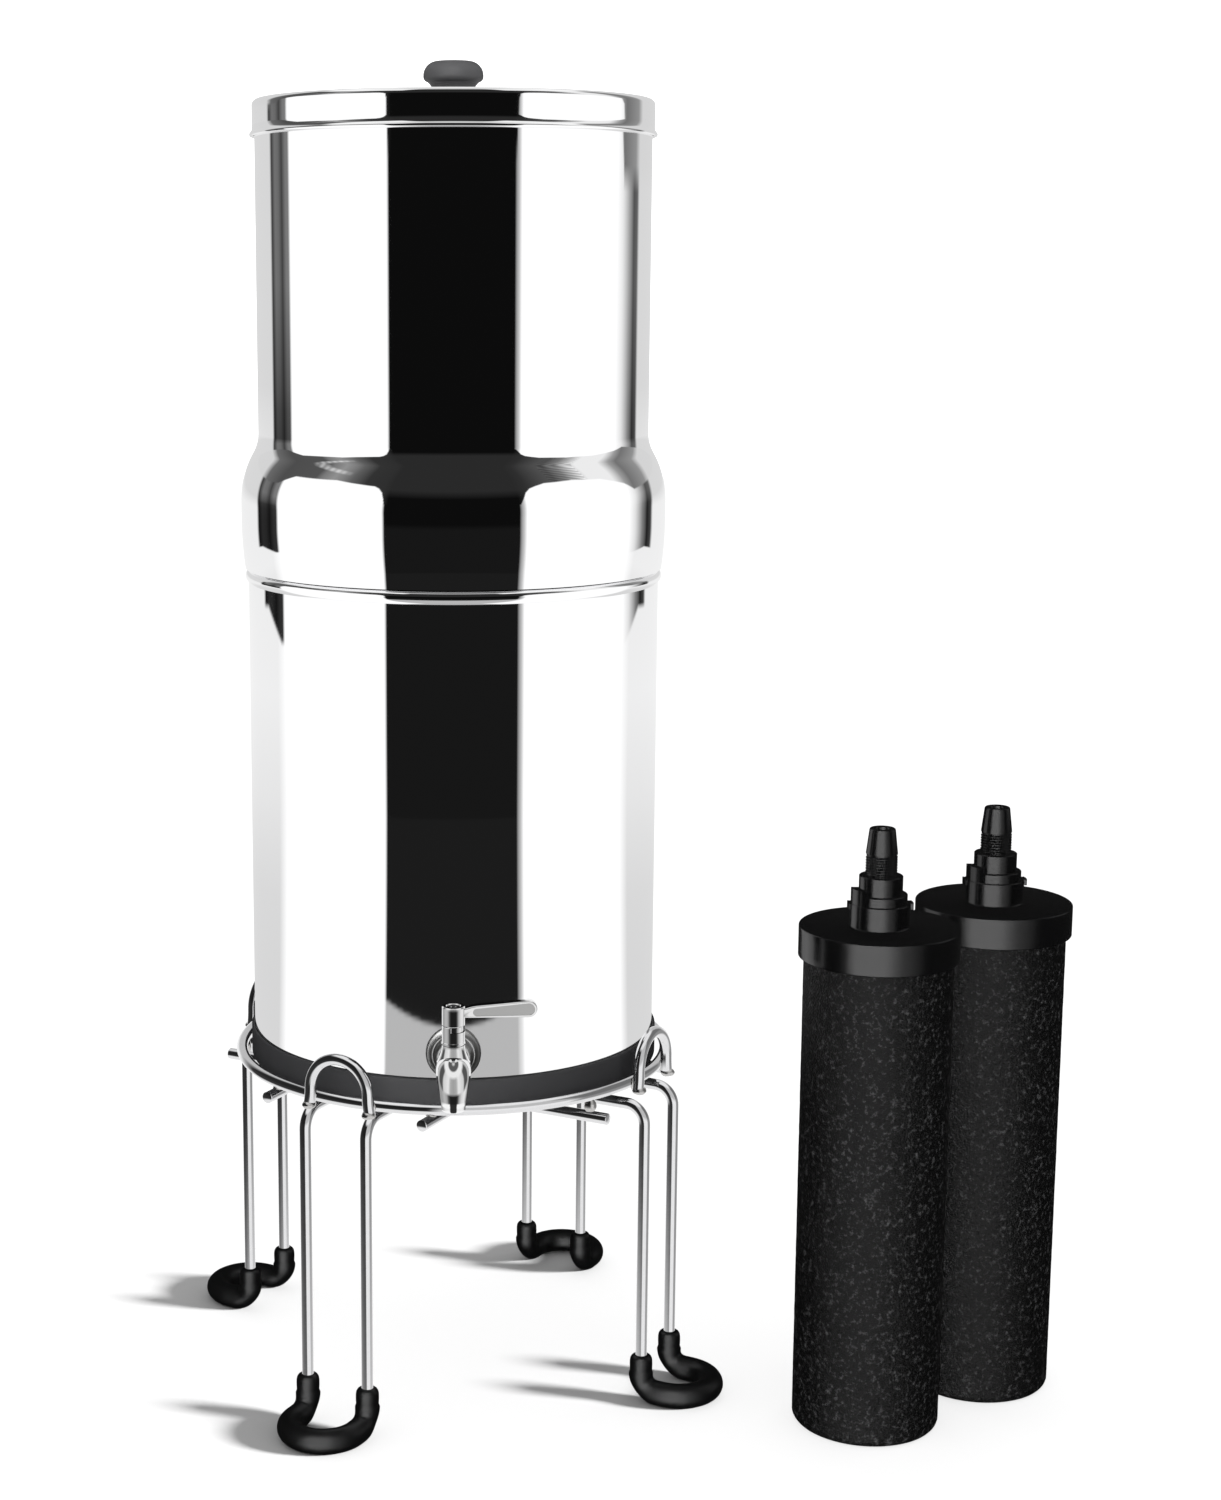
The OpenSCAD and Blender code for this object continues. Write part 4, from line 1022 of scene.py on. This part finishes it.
def wall_glow(azimuth, elevation):
    """Brightness of the chambers' studio above the floor."""
    side = abs(azimuth)
    black = 0.004 if elevation > -6 else 0.009
    back = ramp(elevation, [(-17, 0.84), (-13, 0.92), (-5, 0.90), (-1, 0.72), (10, 0.72)])
    flag = ramp(elevation, [(-6, 0.03), (-3, 0.05), (-1, 0.12), (3, 0.22)])
    edge = ramp(side, [(108, -10.9), (122, -9.6)])
    low = ramp(elevation, [(edge - 0.12, 1), (edge + 0.12, 0)])
    dim = ramp(elevation, [(15, 0.004), (24, 0.024)])
    level = mix(1.1, back, mix(ramp(side, [(122, 0), (126, 1)]), ramp(side, [(104, 0), (112, 1)]), low))
    level = mix(level, flag * flag_tone(azimuth), flag_share(azimuth) * (1 - low))
    level = mix(black, level, front_share(azimuth))
    if azimuth < 0:
        brow = ramp(side, [(36, 8), (37, 14), (38.5, 20), (41, 24), (44, 26), (69, 27), (98, 21), (109, 12),
                           (118, 10)])
        above = ramp(side, [(34, dim), (38, 0.03), (50, 0.035), (60, 0.12), (66, 0.22), (72, 0.30),
                            (80, 0.20), (84, 0.09), (108, 0.08), (122, 0.15), (128, 0.7)])
        streak = ramp(elevation, [(33, 0), (34.5, 1), (36, 1), (37.5, 0)])
        streak *= ramp(side, [(62, 0), (72, 1), (88, 1), (100, 0)])
        above += 0.4 * streak * (0.75 + 0.25 * math.sin(side * 1.3))
    else:
        brow = ramp(side, [(35, 8), (37, 14), (39, 20), (42, 24), (46, 26), (52, 28), (70, 27), (89, 22),
                           (105, 13), (112, 7)])
        above = ramp(side, [(34, dim), (40, 0.03), (55, 0.08), (60, 0.08), (68, 0.20), (74, 0.45), (82, 0.9),
                            (98, 0.9), (106, 0.35), (112, 0.18), (126, 0.3), (132, 0.7)])
        if 56 < side < 80:
            above *= 1 + 0.35 * math.sin((elevation + 0.55 * side) * 2.2)
    level = mix(level, above, ramp(elevation, [(brow - 0.4, 0), (brow + 0.4, 1)]))
    high = mix(0.02, 1.0, front_share(azimuth))
    level = mix(level, high, ramp(elevation, [(52, 0), (56, 1)]))
    return mix(level, 0.7, ramp(elevation, [(66, 0), (78, 1)]))


def floor_glow(azimuth, r):
    """Brightness of the floor in the chambers' studio."""
    side = abs(azimuth)
    near = 0.82 + 0.07 * (azimuth / 37) ** 2
    front = ramp(r, [(near - 0.006, 0.50), (near + 0.006, 0.012)])
    back = ramp(r, [(0.87, 0.72), (1.15, 0.74), (1.6, 0.84)])
    return mix(mix(front, 1.1, front_share(azimuth)), back, ramp(side, [(104, 0), (112, 1)]))


def wire_glow(azimuth, elevation):
    """What the wires mirror: dark ahead on the left, white on the right, pale floor and sky."""
    level = ramp(azimuth, [(-145, 0.95), (-125, 0.04), (-12, 0.02), (-4, 0.95), (60, 0.95), (68, 0.30),
                           (130, 0.30), (142, 0.95)])
    if elevation < 0:
        return mix(level, 0.9, ramp(-elevation, [(18.5, 0), (21, 0.10), (24, 0.35), (32, 1)]))
    level = mix(level, level * 0.6, ramp(elevation, [(0, 0), (12, 1)]))
    return mix(level, 0.9, ramp(elevation, [(46, 0), (58, 1)]))


def tap_glow(azimuth, elevation):
    """What the tap mirrors: a dark strip ahead between two soft lights, a bright sky and a bright floor."""
    side = abs(azimuth)
    level = ramp(azimuth, [(-150, 0.38), (-103, 0.42), (-76, 0.58), (-53, 0.44), (-42, 0.15), (-32, 0.05),
                           (-22, 0.015), (24, 0.015), (36, 0.08), (46, 0.38), (68, 0.80), (94, 0.95),
                           (109, 0.85), (128, 0.33), (158, 0.08)])
    if elevation < -24:
        below = ramp(side, [(28, 0.03), (36, 1.15), (150, 1.1), (165, 0.4)])
        level = mix(level, below, ramp(-elevation, [(24, 0), (28, 1)]))
        return mix(level, 1.0, ramp(-elevation, [(62, 0), (74, 1)]))
    sky = ramp(side, [(0, 0.42), (22, 0.48), (40, 0.95), (78, 0.75), (88, 0.10), (112, 0.10), (122, 0.65),
                      (138, 0.5), (158, 0.05)])
    high = ramp(elevation, [(60, 1.0), (66, 0.12), (80, 0.12), (88, 0.8)])
    sky = mix(sky, high, ramp(elevation, [(36, 0), (46, 1)]))
    return mix(level, sky, ramp(elevation, [(-12, 0), (-4, 1)]))


def plastic_glow(azimuth, elevation):
    """What rubber, plastic and carbon reflect: a broad soft light ahead and a weak one on the right."""
    front = ramp(azimuth, [(-54, 0), (-40, 1), (4, 1), (26, 0.3), (60, 0)])
    front *= ramp(elevation, [(-60, 0), (-35, 1), (50, 1), (70, 0)])
    right = ramp(azimuth, [(70, 0), (85, 1), (110, 1), (125, 0)])
    right *= ramp(elevation, [(-5, 0), (5, 1), (50, 1), (65, 0)])
    return 0.02 + 2.6 * front + 0.3 * right


def painted(name, rows, levels, receivers):
    """A studio surface from rows of points and their brightness, which only the receivers mirror."""
    bm = bmesh.new()
    layer = bm.verts.layers.float_color.new("glow")
    grid = []
    for row, shades in zip(rows, levels):
        line = []
        for point, g in zip(row, shades):
            v = bm.verts.new(UNIT + Vector(point))
            v[layer] = (g, g, g, 1)
            line.append(v)
        grid.append(line)
    for here, there in zip(grid, grid[1:]):
        for i in range(len(here) - 1):
            bm.faces.new((here[i], here[i + 1], there[i + 1], there[i]))
    mesh = bpy.data.meshes.new(name)
    bm.to_mesh(mesh)
    bm.free()
    obj = linked(name, mesh)
    mesh.materials.append(glow_material(name + "_light"))
    obj.visible_camera = False
    obj.visible_diffuse = False
    obj.visible_transmission = False
    obj.visible_shadow = False
    obj.light_linking.receiver_collection = receivers
    return obj


def even_steps(start, end, step):
    """Even steps from a start to just before an end."""
    return [start + step * i for i in range(round((end - start) / step))]


def dome(name, radius, middle_z, elevations, around, glow, receivers):
    """A painted studio round the unit's axis, upright low down and round above."""
    turns = [360 * i / around - 180 for i in range(around + 1)]
    rows = []
    for elevation in elevations:
        e = math.radians(elevation)
        reach = radius / math.cos(math.radians(min(abs(elevation), WALL_TOP)))
        rows.append([compass(reach * math.cos(e), a, middle_z + reach * math.sin(e)) for a in turns])
    return painted(name, rows, [[glow(a, e) for a in turns] for e in elevations], receivers)


def studio():
    """What the steel, the wires and the plastics reflect, and the floor under the object."""
    groups = ("sheet_metal", "wires", "tap", "plastics", "boots")
    sheet, wires, tap, plastics, boots = [bpy.data.collections.new(name) for name in groups]
    for obj in scene.objects:
        if obj.type != "MESH":
            continue
        finish = obj.data.materials[0] if obj.data.materials else None
        if finish in (mirror_steel, lid_steel):
            sheet.objects.link(obj)
            continue
        if obj.name == "lever_arm" or finish in (wire_steel, weld_steel):
            wires.objects.link(obj)
        elif finish in (tap_steel, turned_steel):
            tap.objects.link(obj)
        else:
            plastics.objects.link(obj)
        obj.visible_glossy = obj.name in ("rubber_ring", "knob")
        if obj.name.endswith("_rubber_boot"):
            boots.objects.link(obj)

    lowest = -math.degrees(math.atan2(EYE_LEVEL, WALL_R))
    fine = [lowest] + even_steps(-16, -12, 1) + even_steps(-12, -9, 0.12) + even_steps(-9, 52, 0.5)
    dome("sheet_metal_studio", WALL_R, EYE_LEVEL, fine + even_steps(52, 91, 2), WALL_TURNS, wall_glow, sheet)
    turns = [360 * i / WALL_TURNS - 180 for i in range(WALL_TURNS + 1)]
    radii = [FLOOR_HOLE + RING_STEP * i for i in range(RINGS)]
    rows = [[compass(r, a, 0) for a in turns] for r in radii]
    painted("sheet_metal_floor", rows, [[floor_glow(a, r) for a in turns] for r in radii], sheet)
    coarse = even_steps(-88, 90, 2) + [89.5]
    dome("wire_studio", 2.6, 0.12, coarse, 360, wire_glow, wires)
    dome("tap_studio", 2.8, 0.20, coarse, 360, tap_glow, tap)
    dome("plastic_studio", 3.0, 0.20, coarse, 90, plastic_glow, plastics)

    bm = bmesh.new()
    bmesh.ops.create_grid(bm, x_segments=2, y_segments=2, size=FLOOR_HALF)
    floor_material = surface("floor_paper", [PAPER] * 3, 0.0, 0.9, grain=3, shade=0.0, specular=0.0)
    ground = new_object("floor", bm, floor_material)
    ground.visible_glossy = False
    low_light(ground, boots)

    world = bpy.data.worlds.new("studio_air")
    scene.world = world
    world.use_nodes = True
    air = world.node_tree.nodes["Background"]
    air.inputs["Color"].default_value = (1, 1, 1, 1)
    air.inputs["Strength"].default_value = WORLD_LIGHT
    world.cycles_visibility.glossy = False


def low_light(ground, blockers):
    """A low soft light from the right that only throws the boots' shadows on the floor."""
    data = bpy.data.lights.new("low_light", "SUN")
    data.energy = SUN_ENERGY
    data.angle = SUN_WIDTH
    obj = linked("low_light", data)
    towards = compass(math.cos(SUN_HEIGHT), SUN_AZIMUTH, math.sin(SUN_HEIGHT))
    obj.rotation_euler = towards.to_track_quat("Z", "Y").to_euler()
    floor_only = bpy.data.collections.new("floor_only")
    floor_only.objects.link(ground)
    obj.light_linking.receiver_collection = floor_only
    obj.light_linking.blocker_collection = blockers


def camera():
    """The photograph's camera: level lens shift to the right instead of a turn."""
    data = bpy.data.cameras.new("camera")
    data.sensor_fit = "VERTICAL"
    data.sensor_height = SENSOR_MM
    data.lens = FOCAL_PX * SENSOR_MM / PHOTO_H_PX
    data.shift_x = (PHOTO_W_PX / 2 - LENS_MIDDLE_PX) / PHOTO_H_PX
    data.clip_start = 0.05
    data.clip_end = 30
    obj = linked("camera", data)
    obj.location = UNIT + Vector((0, -CAMERA_AHEAD, EYE_Z))
    obj.rotation_euler = (math.pi / 2 - PITCH, 0, 0)
    scene.camera = obj


camera()
scene.view_settings.view_transform = "Standard"
lower_chamber()
upper_chamber()
lid()
lid_knob()
base_ring()
stand()
tap_body()
lever()
element("near")
element("far")
dress_nodes()
studio()
